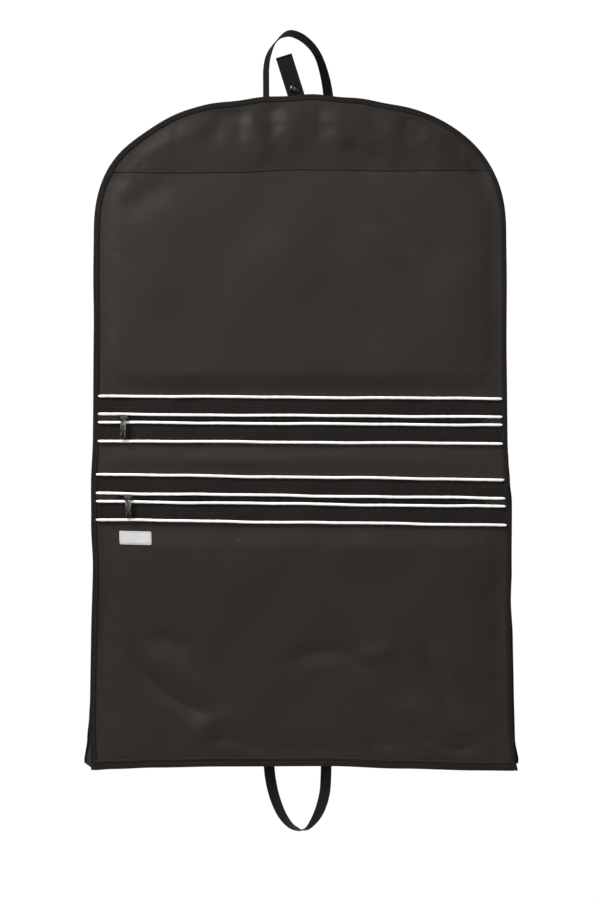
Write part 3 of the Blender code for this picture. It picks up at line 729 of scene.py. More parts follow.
def flat_section(wide: float, thick: float, across: int, ribs: int = 0, rib_high: float = 0.0) -> Points:
    """The cross-section of a tape or webbing, with rounded selvedges.

    Args:
        wide: the tape's width.
        thick: its thickness.
        across: points across each face.
        ribs: raised ribs across the width.
        rib_high: how far they stand up.

    Returns:
        Points (across, through), in order round the section.
    """
    share = np.linspace(-1, 1, across)
    rounding = np.sqrt(np.clip(1 - np.clip((np.abs(share) - 1) * wide / thick + 1, 0, 1) ** 2 * 0.8, 0, 1))
    raised = rib_high * np.cos(share * math.pi * ribs) if ribs else np.zeros(across)
    top = np.stack([share * wide / 2, thick / 2 * rounding + raised * rounding], axis=1)
    foot = np.stack([share[::-1] * wide / 2, -(thick / 2 * rounding + raised * rounding)[::-1]], axis=1)
    return np.vstack([top, foot])


def swept(name: str, path: Points, across: Points, section: Points, closed: bool = False,
          sharp: float | None = 50.0) -> bpy.types.Object:
    """A tape that follows a path, with its width along a given direction at each point.

    Args:
        name: the piece's name.
        path: points of its centre line.
        across: the direction of its width at each point.
        section: points (across, through) of its cross-section.
        closed: whether it joins its own start.
        sharp: edges sharper than this many degrees stay sharp.

    Returns:
        The object.
    """
    along = tangents(path, closed)
    across = unit(across - along * np.sum(across * along, axis=1, keepdims=True))
    face = unit(np.cross(along, across))
    rings = path[:, None] + across[:, None] * section[None, :, :1] + face[:, None] * section[None, :, 1:]
    length = run_lengths(path)
    uv = np.stack(np.broadcast_arrays(section[None, :, 0], length[:, None]), axis=2)
    return loft(name, rings, closed, uv, sharp)


def stitch_row(name: str, path: Points, out: Points, long: float = 0.0032, gap: float = 0.0012,
               thick: float = 0.0006, closed: bool = False) -> bpy.types.Object:
    """A row of sewn stitches, each a short thread that dips into the cloth at both ends.

    Args:
        name: the piece's name.
        path: points along the seam, on the cloth's face.
        out: the direction out of the cloth at each point.
        long: one stitch's length.
        gap: the space between stitches.
        thick: the thread's thickness.
        closed: whether the seam returns to its start.

    Returns:
        One object with every stitch.
    """
    both = resampled(np.hstack([path, out]), (long + gap) / 4, closed)
    lines, outs = both[:, :3], unit(both[:, 3:])
    along = tangents(lines, closed)
    side = unit(np.cross(along, outs))
    points, faces, uvs = [], [], []
    angles = 2 * np.pi * np.arange(5) / 5
    for first in range(0, len(lines) - 3, 4):
        rings = []
        for step, (girth, lift) in enumerate(((0.45, -0.5), (1.0, 0.25), (1.0, 0.25), (0.45, -0.5))):
            i = first + min(step, 3)
            shift = (gap / (long + gap)) * (0.5 - step / 3) * (long + gap) * 0.5
            centre = lines[i] + outs[i] * thick * lift + along[i] * shift
            rim = np.cos(angles)[:, None] * side[i] + np.sin(angles)[:, None] * outs[i]
            rings.append(centre + rim * girth * thick / 2)
        made, quads = loft_parts(np.array(rings), False, sum(len(p) for p in points))
        points.append(made)
        faces += quads
        uvs.append(np.stack([np.tile(angles * thick / 2, 4), np.repeat(np.arange(4) * long / 3, 5)], axis=1))
    return add_piece(name, np.vstack(points), faces, np.vstack(uvs), None)


# ---------------------------------------------------------------- the bag's outline


def smooth_step(value: Points | float, low: float, high: float) -> Points:
    """A smooth rise from 0 at low to 1 at high."""
    t = np.clip((np.asarray(value, float) - low) / (high - low), 0.0, 1.0)
    return t * t * (3 - 2 * t)


def knots(value: Points | float, rows: Sequence[tuple[float, float]]) -> Points:
    """A smooth curve through (place, value) rows, level outside them."""
    places = np.array([row[0] for row in rows])
    values = np.array([row[1] for row in rows])
    order = np.argsort(places)
    places, values = places[order], values[order]
    value = np.clip(np.asarray(value, float), places[0], places[-1])
    i = np.clip(np.searchsorted(places, value) - 1, 0, len(places) - 2)
    t = (value - places[i]) / (places[i + 1] - places[i])
    t = t * t * (3 - 2 * t)
    return values[i] * (1 - t) + values[i + 1] * t


class Face(Enum):
    """The bag's two large faces, with the sign of the way that each one looks."""

    FRONT = -1
    BACK = 1


@dataclass
class Outline:
    """The bag's shape seen from the front: an arched top, sides that spread a little, and a flat hem."""

    half_width: float = 0.305
    half_width_at_hem: float = 0.3165
    arch_drop: float = 0.206
    arch_power: float = 2.47
    length: float = 0.995
    lean: float = 0.0048
    # How far the hem lies above its even height, by place across the bag
    hems: dict[Face, tuple[tuple[float, float], ...]] = field(default_factory=lambda: {
        Face.FRONT: ((-0.318, -0.0028), (-0.281, -0.0008), (-0.222, 0.0012), (-0.118, 0.0028),
                     (0.044, 0.0034),
                     (0.148, -0.0003), (0.255, -0.0030), (0.322, -0.0036)),
        Face.BACK: ((-0.318, 0.0030), (0.0, 0.0036), (0.322, 0.0034)),
    })
    # How far each edge lies outside the even outline, by height
    edges: dict[tuple[Face, int], tuple[tuple[float, float], ...]] = field(default_factory=lambda: {
        (Face.FRONT, -1): ((-0.25, 0.0), (-0.35, -0.0020), (-0.51, -0.0030), (-0.57, -0.0012),
                           (-0.63, -0.0022),
                           (-0.70, -0.0058), (-0.80, -0.0046), (-0.92, -0.0044), (-0.995, -0.0072)),
        (Face.FRONT, 1): ((-0.25, 0.0), (-0.39, -0.0020), (-0.51, -0.0024), (-0.57, -0.0008), (-0.63, 0.0016),
                          (-0.70, 0.0008), (-0.75, -0.0010), (-0.88, -0.0008), (-0.94, -0.0002),
                          (-0.98, 0.0026), (-0.995, 0.0060)),
        (Face.BACK, -1): ((-0.25, 0.0), (-0.35, -0.0016), (-0.51, -0.0026), (-0.57, -0.0006),
                          (-0.63, -0.0016),
                          (-0.70, -0.0052), (-0.80, -0.0040), (-0.88, -0.0036), (-0.92, -0.0016),
                          (-0.955, 0.0008), (-0.995, 0.0052)),
        (Face.BACK, 1): ((-0.25, 0.0), (-0.44, -0.0016), (-0.51, -0.0012), (-0.54, 0.0006), (-0.57, 0.0022),
                         (-0.60, 0.0046), (-0.70, 0.0030), (-0.75, 0.0010), (-0.80, 0.0030), (-0.88, 0.0034),
                         (-0.955, 0.0040), (-0.995, 0.0094)),
    })

    def wide(self, z: Points) -> Points:
        """Half of the even outline's width below the arch, and its full half width above."""
        share = np.clip((-self.arch_drop - np.asarray(z, float)) / (self.length - self.arch_drop), 0, 1.2)
        return self.half_width + (self.half_width_at_hem - self.half_width) * share

    def half(self, z: Points, inset: float = 0.0) -> Points:
        """Half of the outline's width at a height, less an inset."""
        height = np.clip((np.asarray(z, float) + self.arch_drop) / self.arch_drop, 0.0, 1.0)
        arch = (1.0 - height**self.arch_power) ** (1.0 / self.arch_power)
        return self.wide(z) * arch - inset

    def top(self, x: Points) -> Points:
        """The height of the arch over a place across the bag."""
        share = np.clip(np.abs(np.asarray(x, float)) / self.half_width, 0.0, 1.0)
        return -self.arch_drop + self.arch_drop * (1.0 - share**self.arch_power) ** (1.0 / self.arch_power)

    def arch(self, angle: Points) -> Points:
        """Points (x, z) on the arch, from its right foot at 0 to its left foot at pi."""
        power = 2.0 / self.arch_power
        cos, sin = np.cos(angle), np.maximum(np.sin(angle), 0.0)
        x = self.half_width * np.sign(cos) * np.abs(cos) ** power
        return np.stack([x, -self.arch_drop + self.arch_drop * sin**power], axis=-1)

    def rim(self, inset: float, spacing: float, hem: bool = True) -> Points:
        """Points (x, z) round the outline, moved inwards by an inset.

        Args:
            inset: how far inside the edge the line runs.
            spacing: distance between points.
            hem: whether the line also runs along the hem and closes.

        Returns:
            The points, from the right foot of the sides, over the arch, and down to the left.
        """
        foot = -self.length
        right = np.array([[self.half_width_at_hem, foot], [self.half_width, -self.arch_drop]])
        arch = self.arch(np.linspace(0, math.pi, 400))
        left = right[::-1] * (-1, 1)
        line = np.vstack([resampled(right, 0.004)[:-1], arch, resampled(left, 0.004)[1:]])
        if hem:
            line = np.vstack([line, resampled(np.array([left[-1], right[0]]), 0.004)[1:-1]])
        along = tangents(line, hem)
        inwards = np.stack([-along[:, 1], along[:, 0]], axis=1)
        moved = line + inwards * inset
        if hem:
            limit = self.half(moved[:, 1]) - inset
            near = moved[:, 1] < foot + 4 * inset
            moved[near, 0] = np.clip(moved[near, 0], -limit[near], limit[near])
            moved[:, 1] = np.maximum(moved[:, 1], foot + inset)
        return resampled(moved, spacing, hem)

    def placed(self, x: Points, z: Points, face: Face) -> tuple[Points, Points]:
        """Where a point of the even outline lies on one face of the real, slightly uneven bag.

        Args:
            x: places across the bag.
            z: heights.
            face: the bag's front or back.

        Returns:
            The new x and z.
        """
        x, z = np.asarray(x, float), np.asarray(z, float)
        share = np.clip(x / self.wide(z), -1.1, 1.1)
        right = knots(z, self.edges[face, 1]) * smooth_step(share, 0.0, 1.0)
        left = knots(z, self.edges[face, -1]) * smooth_step(-share, 0.0, 1.0)
        lean = self.lean * smooth_step(z, -0.12, -0.005) * (1 - 0.4 * np.abs(share))
        slack = 0.0016 * np.sin(x * 31.0 + 1.2) * smooth_step(z, -0.06, 0.0)
        slack += 0.0010 * np.sin(x * 83.0 + 0.4) * smooth_step(z, -0.03, 0.0)
        flat = 0.0030 * np.exp(-(((x + 0.235) / 0.035) ** 2)) * smooth_step(z, -0.14, -0.05)
        droop = knots(x, self.hems[face]) * smooth_step(z, -0.88, -0.995)
        return x + right - left + lean, z + slack - flat + droop


# ---------------------------------------------------------------- how the cloth lies


class Crease(Enum):
    """What a crease does to the cloth: sinks, stands up, or steps from one level to another."""

    VALLEY = -1
    RIDGE = 1
    STEP = 2


@dataclass(frozen=True)
class Wrinkle:
    """One soft crease along a line of points (x, z), all in metres."""

    kind: Crease
    line: tuple[tuple[float, float], ...]
    wide: float
    deep: float
    taper: float = 0.35

    def height(self, x: Points, z: Points) -> Points:
        """How far the crease lifts the cloth at each place.

        Args:
            x: places across the bag.
            z: heights.

        Returns:
            The lift, negative into the bag.
        """
        line = smooth_route(self.line, 6)
        lengths = run_lengths(line)
        best = np.full(x.shape, 1e9)
        side = np.zeros(x.shape)
        share = np.zeros(x.shape)
        for (ax, az), (bx, bz), start in zip(line, line[1:], lengths):
            dx, dz = bx - ax, bz - az
            size = max(math.hypot(dx, dz), 1e-9)
            t = np.clip(((x - ax) * dx + (z - az) * dz) / size**2, 0, 1)
            px, pz = x - ax - t * dx, z - az - t * dz
            gap = np.hypot(px, pz)
            closer = gap < best
            best = np.where(closer, gap, best)
            side = np.where(closer, (px * dz - pz * dx) / size, side)
            share = np.where(closer, (start + t * size) / lengths[-1], share)
        fade = smooth_step(share, 0, self.taper) * smooth_step(1 - share, 0, self.taper)
        fade = 0.12 + 0.88 * fade
        body = np.exp(-((best / self.wide) ** 2))
        if self.kind is Crease.STEP:
            return self.deep * fade * body * np.clip(side / self.wide, -1.5, 1.5)
        return self.kind.value * self.deep * fade * body


FRONT_WRINKLES = (
    # Round the crown and the yoke
    Wrinkle(Crease.VALLEY, ((-0.105, -0.012), (-0.118, -0.040), (-0.150, -0.072)), 0.017, 0.0028),
    Wrinkle(Crease.VALLEY, ((-0.092, -0.012), (-0.092, -0.044), (-0.090, -0.074)), 0.013, 0.0024),
    Wrinkle(Crease.RIDGE, ((-0.080, -0.020), (-0.068, -0.060), (-0.052, -0.108)), 0.016, 0.0024),
    Wrinkle(Crease.VALLEY, ((-0.060, -0.012), (-0.046, -0.036), (-0.034, -0.062)), 0.016, 0.0028),
    Wrinkle(Crease.RIDGE, ((-0.030, -0.016), (-0.018, -0.050), (-0.008, -0.095)), 0.018, 0.0014),
    Wrinkle(Crease.VALLEY, ((0.010, -0.018), (0.024, -0.034), (0.042, -0.066)), 0.013, 0.0020),
    Wrinkle(Crease.RIDGE, ((0.045, -0.014), (0.050, -0.045), (0.060, -0.085)), 0.018, 0.0015),
    Wrinkle(Crease.VALLEY, ((0.090, -0.014), (0.105, -0.034), (0.118, -0.064)), 0.015, 0.0018),
    Wrinkle(Crease.VALLEY, ((0.146, -0.026), (0.160, -0.044), (0.184, -0.066)), 0.016, 0.0020),
    Wrinkle(Crease.VALLEY, ((0.056, -0.068), (0.085, -0.088), (0.130, -0.106)), 0.018, 0.0022),
    Wrinkle(Crease.VALLEY, ((0.150, -0.078), (0.174, -0.098), (0.196, -0.118)), 0.016, 0.0014),
    Wrinkle(Crease.VALLEY, ((0.200, -0.060), (0.235, -0.086), (0.262, -0.112), (0.284, -0.148)), 0.019,
            0.0030),
    Wrinkle(Crease.VALLEY, ((-0.283, -0.124), (-0.270, -0.122), (-0.250, -0.132)), 0.009, 0.0014),
    # The upper panel
    Wrinkle(Crease.VALLEY, ((-0.182, -0.118), (-0.225, -0.147), (-0.275, -0.178)), 0.020, 0.0024),
    Wrinkle(Crease.RIDGE, ((-0.150, -0.145), (-0.205, -0.185), (-0.262, -0.232)), 0.034, 0.0012),
    Wrinkle(Crease.STEP, ((0.095, -0.178), (0.132, -0.212), (0.170, -0.248)), 0.015, 0.0030),
    Wrinkle(Crease.STEP, ((0.142, -0.166), (0.170, -0.190), (0.206, -0.216)), 0.014, 0.0018),
    Wrinkle(Crease.RIDGE, ((-0.060, -0.190), (-0.020, -0.250), (0.030, -0.320)), 0.045, 0.0022),
    Wrinkle(Crease.VALLEY, ((0.020, -0.230), (0.060, -0.310), (0.120, -0.380)), 0.040, 0.0018),
    Wrinkle(Crease.VALLEY, ((-0.240, -0.290), (-0.180, -0.340), (-0.120, -0.420)), 0.035, 0.0016),
    Wrinkle(Crease.RIDGE, ((0.210, -0.240), (0.235, -0.320), (0.225, -0.410)), 0.035, 0.0018),
    # The plain band between the pockets
    Wrinkle(Crease.RIDGE, ((-0.240, -0.530), (-0.080, -0.540), (0.060, -0.536)), 0.012, 0.0010),
    Wrinkle(Crease.VALLEY, ((0.080, -0.545), (0.180, -0.534), (0.280, -0.545)), 0.012, 0.0010),
    # The lower panel
    Wrinkle(Crease.VALLEY, ((-0.252, -0.802), (-0.245, -0.836), (-0.220, -0.868), (-0.175, -0.898),
                            (-0.112, -0.930)), 0.011, 0.0046),
    Wrinkle(Crease.RIDGE, ((-0.232, -0.792), (-0.206, -0.838), (-0.160, -0.872), (-0.100, -0.902)), 0.020,
            0.0030),
    Wrinkle(Crease.RIDGE, ((-0.180, -0.966), (-0.150, -0.940), (-0.118, -0.922), (-0.070, -0.950)), 0.018,
            0.0036),
    Wrinkle(Crease.VALLEY, ((-0.150, -0.968), (-0.112, -0.950), (-0.080, -0.962), (-0.030, -0.972)), 0.014,
            0.0044),
    Wrinkle(Crease.VALLEY, ((-0.232, -0.812), (-0.200, -0.806), (-0.160, -0.826)), 0.014, 0.0026),
    Wrinkle(Crease.VALLEY, ((-0.030, -0.844), (0.020, -0.824), (0.064, -0.824), (0.092, -0.846),
                            (0.118, -0.852)), 0.014, 0.0034),
    Wrinkle(Crease.RIDGE, ((0.080, -0.822), (0.110, -0.826), (0.150, -0.812)), 0.014, 0.0022),
    Wrinkle(Crease.VALLEY, ((0.166, -0.814), (0.184, -0.830), (0.202, -0.858), (0.222, -0.900),
                            (0.244, -0.930)), 0.014, 0.0042),
    Wrinkle(Crease.RIDGE, ((0.190, -0.806), (0.214, -0.836), (0.240, -0.880)), 0.018, 0.0028),
    Wrinkle(Crease.VALLEY, ((0.130, -0.914), (0.156, -0.922), (0.190, -0.948), (0.232, -0.962),
                            (0.274, -0.958)), 0.011, 0.0046),
    Wrinkle(Crease.RIDGE, ((0.120, -0.902), (0.170, -0.912), (0.214, -0.936), (0.262, -0.944)), 0.016,
            0.0030),
    Wrinkle(Crease.VALLEY, ((0.090, -0.966), (0.130, -0.958), (0.164, -0.968)), 0.012, 0.0034),
    Wrinkle(Crease.VALLEY, ((-0.060, -0.962), (0.010, -0.970), (0.080, -0.964)), 0.013, 0.0040),
    Wrinkle(Crease.RIDGE, ((-0.190, -0.660), (-0.120, -0.700), (-0.060, -0.770)), 0.034, 0.0020),
    Wrinkle(Crease.VALLEY, ((0.040, -0.680), (0.110, -0.720), (0.190, -0.700)), 0.034, 0.0018),
    Wrinkle(Crease.VALLEY, ((0.270, -0.700), (0.285, -0.780), (0.278, -0.860)), 0.018, 0.0022),
    Wrinkle(Crease.VALLEY, ((-0.285, -0.700), (-0.292, -0.780), (-0.280, -0.860)), 0.016, 0.0018),
)

BACK_WRINKLES = (
    Wrinkle(Crease.RIDGE, ((-0.200, -0.120), (-0.140, -0.180), (-0.060, -0.300)), 0.030, 0.0030),
    Wrinkle(Crease.VALLEY, ((0.050, -0.100), (0.120, -0.200), (0.220, -0.280)), 0.022, 0.0032),
    Wrinkle(Crease.RIDGE, ((0.240, -0.160), (0.180, -0.260), (0.140, -0.380)), 0.028, 0.0026),
    Wrinkle(Crease.VALLEY, ((-0.260, -0.330), (-0.160, -0.400), (-0.050, -0.430)), 0.020, 0.0030),
    Wrinkle(Crease.VALLEY, ((-0.250, -0.880), (-0.180, -0.820), (-0.070, -0.800)), 0.020, 0.0036),
    Wrinkle(Crease.RIDGE, ((0.060, -0.700), (0.150, -0.780), (0.250, -0.820)), 0.026, 0.0030),
    Wrinkle(Crease.VALLEY, ((0.080, -0.930), (0.160, -0.890), (0.260, -0.930)), 0.016, 0.0034),
    Wrinkle(Crease.VALLEY, ((-0.220, -0.560), (-0.120, -0.640), (-0.050, -0.720)), 0.022, 0.0026),
    Wrinkle(Crease.RIDGE, ((0.080, -0.480), (0.170, -0.560), (0.250, -0.660)), 0.026, 0.0026),
)


@dataclass
class HangingCloth:
    """One cloth simulation of the bag's face, sewn down along its edges and pocket zips.

    Its buckles are read by every layer of the face, so that panels and seams stay together.
    """

    outline: Outline
    held_rows: tuple[float, ...] = (-0.459, -0.499, -0.578, -0.617)
    cell: float = 0.010
    spare: float = 0.006
    frames: int = 26
    deepest: float = 0.0055
    gain: float = 0.55
    grid: Points | None = None

    def simulate(self) -> None:
        """Let the spare cloth buckle between its seams, and keep how far it moved."""
        columns = int(2 * self.outline.half_width / self.cell) + 1
        rows = int(self.outline.length / self.cell) + 1
        xs = np.linspace(-1, 1, columns)
        zs = np.linspace(0, -self.outline.length, rows)
        x = xs[None, :] * np.minimum(self.outline.wide(zs), 1.0)[:, None]
        z = np.broadcast_to(zs[:, None], x.shape)
        start = 0.0004 * (np.sin(x * 57 + z * 41) + np.sin(x * 23 - z * 67 + 1.0) + np.sin(x * 91 + z * 13))
        points = np.stack([x, start, z], axis=2).reshape(-1, 3)
        sheet = add_piece("drape_sheet", points, grid_faces(rows, columns), None, None)
        held = sheet.vertex_groups.new(name="sewn")
        outside = np.abs(x) > self.outline.half(z, 0.012)
        near = np.min([np.abs(z - row) for row in self.held_rows], axis=0) < self.cell * 0.6
        sewn = outside | near | (z < -self.outline.length + 0.014)
        held.add([int(i) for i in np.flatnonzero(sewn.ravel())], 1.0, "REPLACE")
        cloth = sheet.modifiers.new("hang", "CLOTH")
        cloth.settings.quality = 6
        cloth.settings.mass = 0.25
        cloth.settings.tension_stiffness = 18
        cloth.settings.compression_stiffness = 18
        cloth.settings.shear_stiffness = 6
        cloth.settings.bending_stiffness = 0.35
        cloth.settings.shrink_min = -self.spare
        cloth.settings.shrink_max = -self.spare
        cloth.settings.vertex_group_mass = "sewn"
        cloth.collision_settings.use_collision = False
        scene = bpy.context.scene
        scene.use_gravity = True
        scene.gravity = (0.0, -1.6, -4.0)
        for number in range(1, self.frames + 1):
            scene.frame_set(number)
        graph = bpy.context.evaluated_depsgraph_get()
        moved = sheet.evaluated_get(graph)
        out = np.zeros(len(moved.data.vertices) * 3, np.float32)
        moved.data.vertices.foreach_get("co", out)
        self.grid = -out.reshape(rows, columns, 3)[:, :, 1].astype(float)
        bpy.data.objects.remove(sheet, do_unlink=True)
        scene.frame_set(1)
        log.info("cloth moved from %.4f to %.4f m", self.grid.min(), self.grid.max())

    def lift(self, x: Points, z: Points, face: Face) -> Points:
        """How far the simulated cloth stands out at each place of a face.

        Args:
            x: places across the bag.
            z: heights.
            face: the front, or the back, which reads the same cloth turned left to right.

        Returns:
            The lift outwards.
        """
        if self.grid is None:
            return np.zeros(np.shape(x))
        rows, columns = self.grid.shape
        x = -x if face is Face.BACK else x
        u = np.clip((x / self.outline.wide(z) + 1) / 2 * (columns - 1), 0, columns - 1.001)
        v = np.clip(-z / self.outline.length * (rows - 1), 0, rows - 1.001)
        i, j = v.astype(int), u.astype(int)
        a, b = v - i, u - j
        a, b = a * a * (3 - 2 * a), b * b * (3 - 2 * b)
        upper = self.grid[i, j] * (1 - b) + self.grid[i, j + 1] * b
        lower = self.grid[i + 1, j] * (1 - b) + self.grid[i + 1, j + 1] * b
        found = self.gain * (upper * (1 - a) + lower * a)
        return self.deepest * np.tanh(found / self.deepest)


@dataclass
class Drape:
    """Where the cloth of each face lies: its fullness, its buckles and its creases."""

    outline: Outline
    cloth: HangingCloth
    half_depth: float = 0.016
    fullness: float = 0.0042
    crease_gain: float = 1.45
    pocket_rows: tuple[tuple[float, float], ...] = ((-0.438, -0.519), (-0.557, -0.639))

    def held(self, x: Points, z: Points, face: Face, room: float) -> Points:
        """How free the cloth is to stand out: 0 where it is sewn down, 1 well away from a seam.

        Args:
            x: places across the bag.
            z: heights.
            face: the front or the back.
            room: how far inside the outline the cloth is quite free.

        Returns:
            The share.
        """
        near_edge = np.maximum(self.outline.half(z) - np.abs(x), 0)
        crown = np.maximum(self.outline.top(x) - z, 0)
        free = smooth_step(np.minimum(near_edge, crown), 0.004, room)
        free = free * smooth_step(self.outline.length + z, 0.006, 0.030)
        if face is Face.FRONT:
            for high, low in self.pocket_rows:
                inside = np.maximum(z - high, low - z)
                free = free * (0.04 + 0.96 * smooth_step(inside, -0.002, 0.030))
        else:
            free = free * smooth_step(np.abs(x), 0.010, 0.045)
        return free

    def lift(self, x: Points, z: Points, face: Face) -> Points:
        """How far the cloth's face stands outside its flat plane.

        Args:
            x: places across the bag.
            z: heights.
            face: the front or the back.

        Returns:
            The lift outwards.
        """
        x, z = np.broadcast_arrays(np.asarray(x, float), np.asarray(z, float))
        share = np.clip(x / self.outline.wide(z), -1, 1)
        full = self.fullness * (1 - share**4) * (0.7 + 0.3 * np.sin(-z * 6.0 + 0.5))
        wrinkles = FRONT_WRINKLES if face is Face.FRONT else BACK_WRINKLES
        creased = self.crease_gain * sum(wrinkle.height(x, z) for wrinkle in wrinkles)
        soft = 0.0007 * np.sin(x * 26 + z * 17 + 0.5) + 0.0005 * np.sin(x * 43 - z * 31 + 2.0)
        rows = smooth_step(-z, 0.40, 0.43) * smooth_step(z, -0.66, -0.64) if face is Face.FRONT else 0.0
        pocket = rows * 0.00018 * (np.sin(x * 95 + 0.7) + np.sin(x * 57 + 2.1))
        rounded = self.held(x, z, face, 0.040) * (full + soft + self.cloth.lift(x, z, face))
        return rounded + self.held(x, z, face, 0.018) * creased + pocket

    def at(self, x: Points, z: Points, out: Points | float, face: Face = Face.FRONT) -> Points:
        """Points of a layer that lies on a face.

        Args:
            x: places across the bag, on the flat pattern.
            z: heights on the flat pattern.
            out: how far the layer lies outside the face's plane.
            face: the front or the back.

        Returns:
            The points, with a last axis of three.
        """
        x, z = np.broadcast_arrays(np.asarray(x, float), np.asarray(z, float))
        px, pz = self.outline.placed(x, z, face)
        y = face.value * (self.half_depth + out + self.lift(x, z, face))
        return np.stack([px, y, pz], axis=-1)

    def out_of(self, points: Points, face: Face = Face.FRONT) -> Points:
        """The outward direction of a face, for a row of points."""
        return np.broadcast_to(np.array([0.0, face.value, 0.0]), points.shape)


# ---------------------------------------------------------------- layers of cloth


@dataclass(frozen=True)
class Row:
    """A line across the bag: its height in the middle, its slope and its small bends."""

    z: float
    slope: float = 0.0
    bends: tuple[tuple[float, float], ...] = ((-0.3, 0.0), (0.3, 0.0))

    def at(self, x: Points) -> Points:
        """The row's height at a place across the bag."""
        return self.z + self.slope * np.asarray(x, float) + knots(x, self.bends)


FOLD_START, FOLD_END = (0.0, 0.0, -0.488), (0.0, 0.0, -0.588)


def attach(piece: bpy.types.Object, body: str | None, *nodes: str) -> bpy.types.Object:
    """Let a piece ride on a body, or keep it unparented with its transform applied, and hide the CAD nodes
    that it stands for.

    Args:
        piece: the finished piece.
        body: its body, or None for a piece that crosses the fold.
        nodes: the CAD nodes that it stands for.

    Returns:
        The same piece.
    """
    if body is None:
        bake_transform(piece)
    else:
        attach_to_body(piece, body)
    if nodes:
        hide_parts(*nodes)
    log.info("%s: %d faces, on %s", piece.name, len(piece.data.polygons), body or "both halves")
    return piece


@dataclass
class Tailor:
    """Cuts layers of cloth to the bag's outline and lays them on the drape."""

    outline: Outline
    drape: Drape
    cell: float = 0.0042

    def columns(self) -> Points:
        """Places from the left edge, -1, to the right edge, 1, closer together near the edges."""
        count = int(2 * self.outline.half_width / self.cell)
        even = np.linspace(-1, 1, count + 1)
        return 0.72 * even + 0.28 * np.sin(even * math.pi / 2)

    def layer(self, name: str, top: Row | None, foot: Row | None, out: float, thick: float,
              face: Face = Face.FRONT,
              inset: float = 0.0, cell: float | None = None, reach: tuple[float, float] = (-1.0, 1.0),
              ) -> bpy.types.Object:
        """A layer between two rows, or from the arch where there is no top row.

        Args:
            name: the piece's name.
            top: the upper row, or None for the arch.
            foot: the lower row, or None for the hem.
            out: how far the layer's middle lies outside the face plane.
            thick: its thickness.
            face: the front or the back.
            inset: how far its sides stay inside the outline.
            cell: the height of its cells.
            reach: the shares of the width that it runs between.

        Returns:
            The piece.
        """
        even = self.columns()
        even = even[(even >= reach[0]) & (even <= reach[1])]
        even = np.unique(np.concatenate([[reach[0]], even, [reach[1]]]))
        share = even * (1 - inset / self.outline.half_width)
        arch = self.outline.top(even * self.outline.half_width) - inset
        flat_x = share * self.outline.half_width
        high = arch if top is None else np.minimum(top.at(flat_x), arch)
        low = np.full(len(share), -self.outline.length + inset) if foot is None else foot.at(flat_x)
        low = np.minimum(low, high - 0.00015)
        rows = max(int(math.ceil((high.max() - low.min()) / (cell or self.cell))), 2)
        t = np.linspace(0, 1, rows + 1)[:, None]
        z = high[None, :] * (1 - t) + low[None, :] * t
        x = share[None, :] * self.outline.wide(z)
        middle = self.drape.at(x, z, out, face)
        return sheet_solid(name, middle, thick, np.stack([x, z], axis=2))

    def seam(self, name: str, row: Row, out: float, inset: float, finish: ClothFinish,
             body: str | None) -> None:
        """A row of stitches across the front.

        Args:
            name: the piece's name.
            row: the seam.
            out: how far the thread lies outside the face plane.
            inset: how far its ends stay inside the outline.
            finish: the thread's finish.
            body: the body that it rides on.
        """
        half = float(self.outline.half(row.z, inset))
        x = np.linspace(-half, half, 240)
        path = self.drape.at(x, row.at(x), out)
        piece = stitch_row(name, path, self.drape.out_of(path))
        SHELF.dress(piece, finish)
        attach(piece, body)


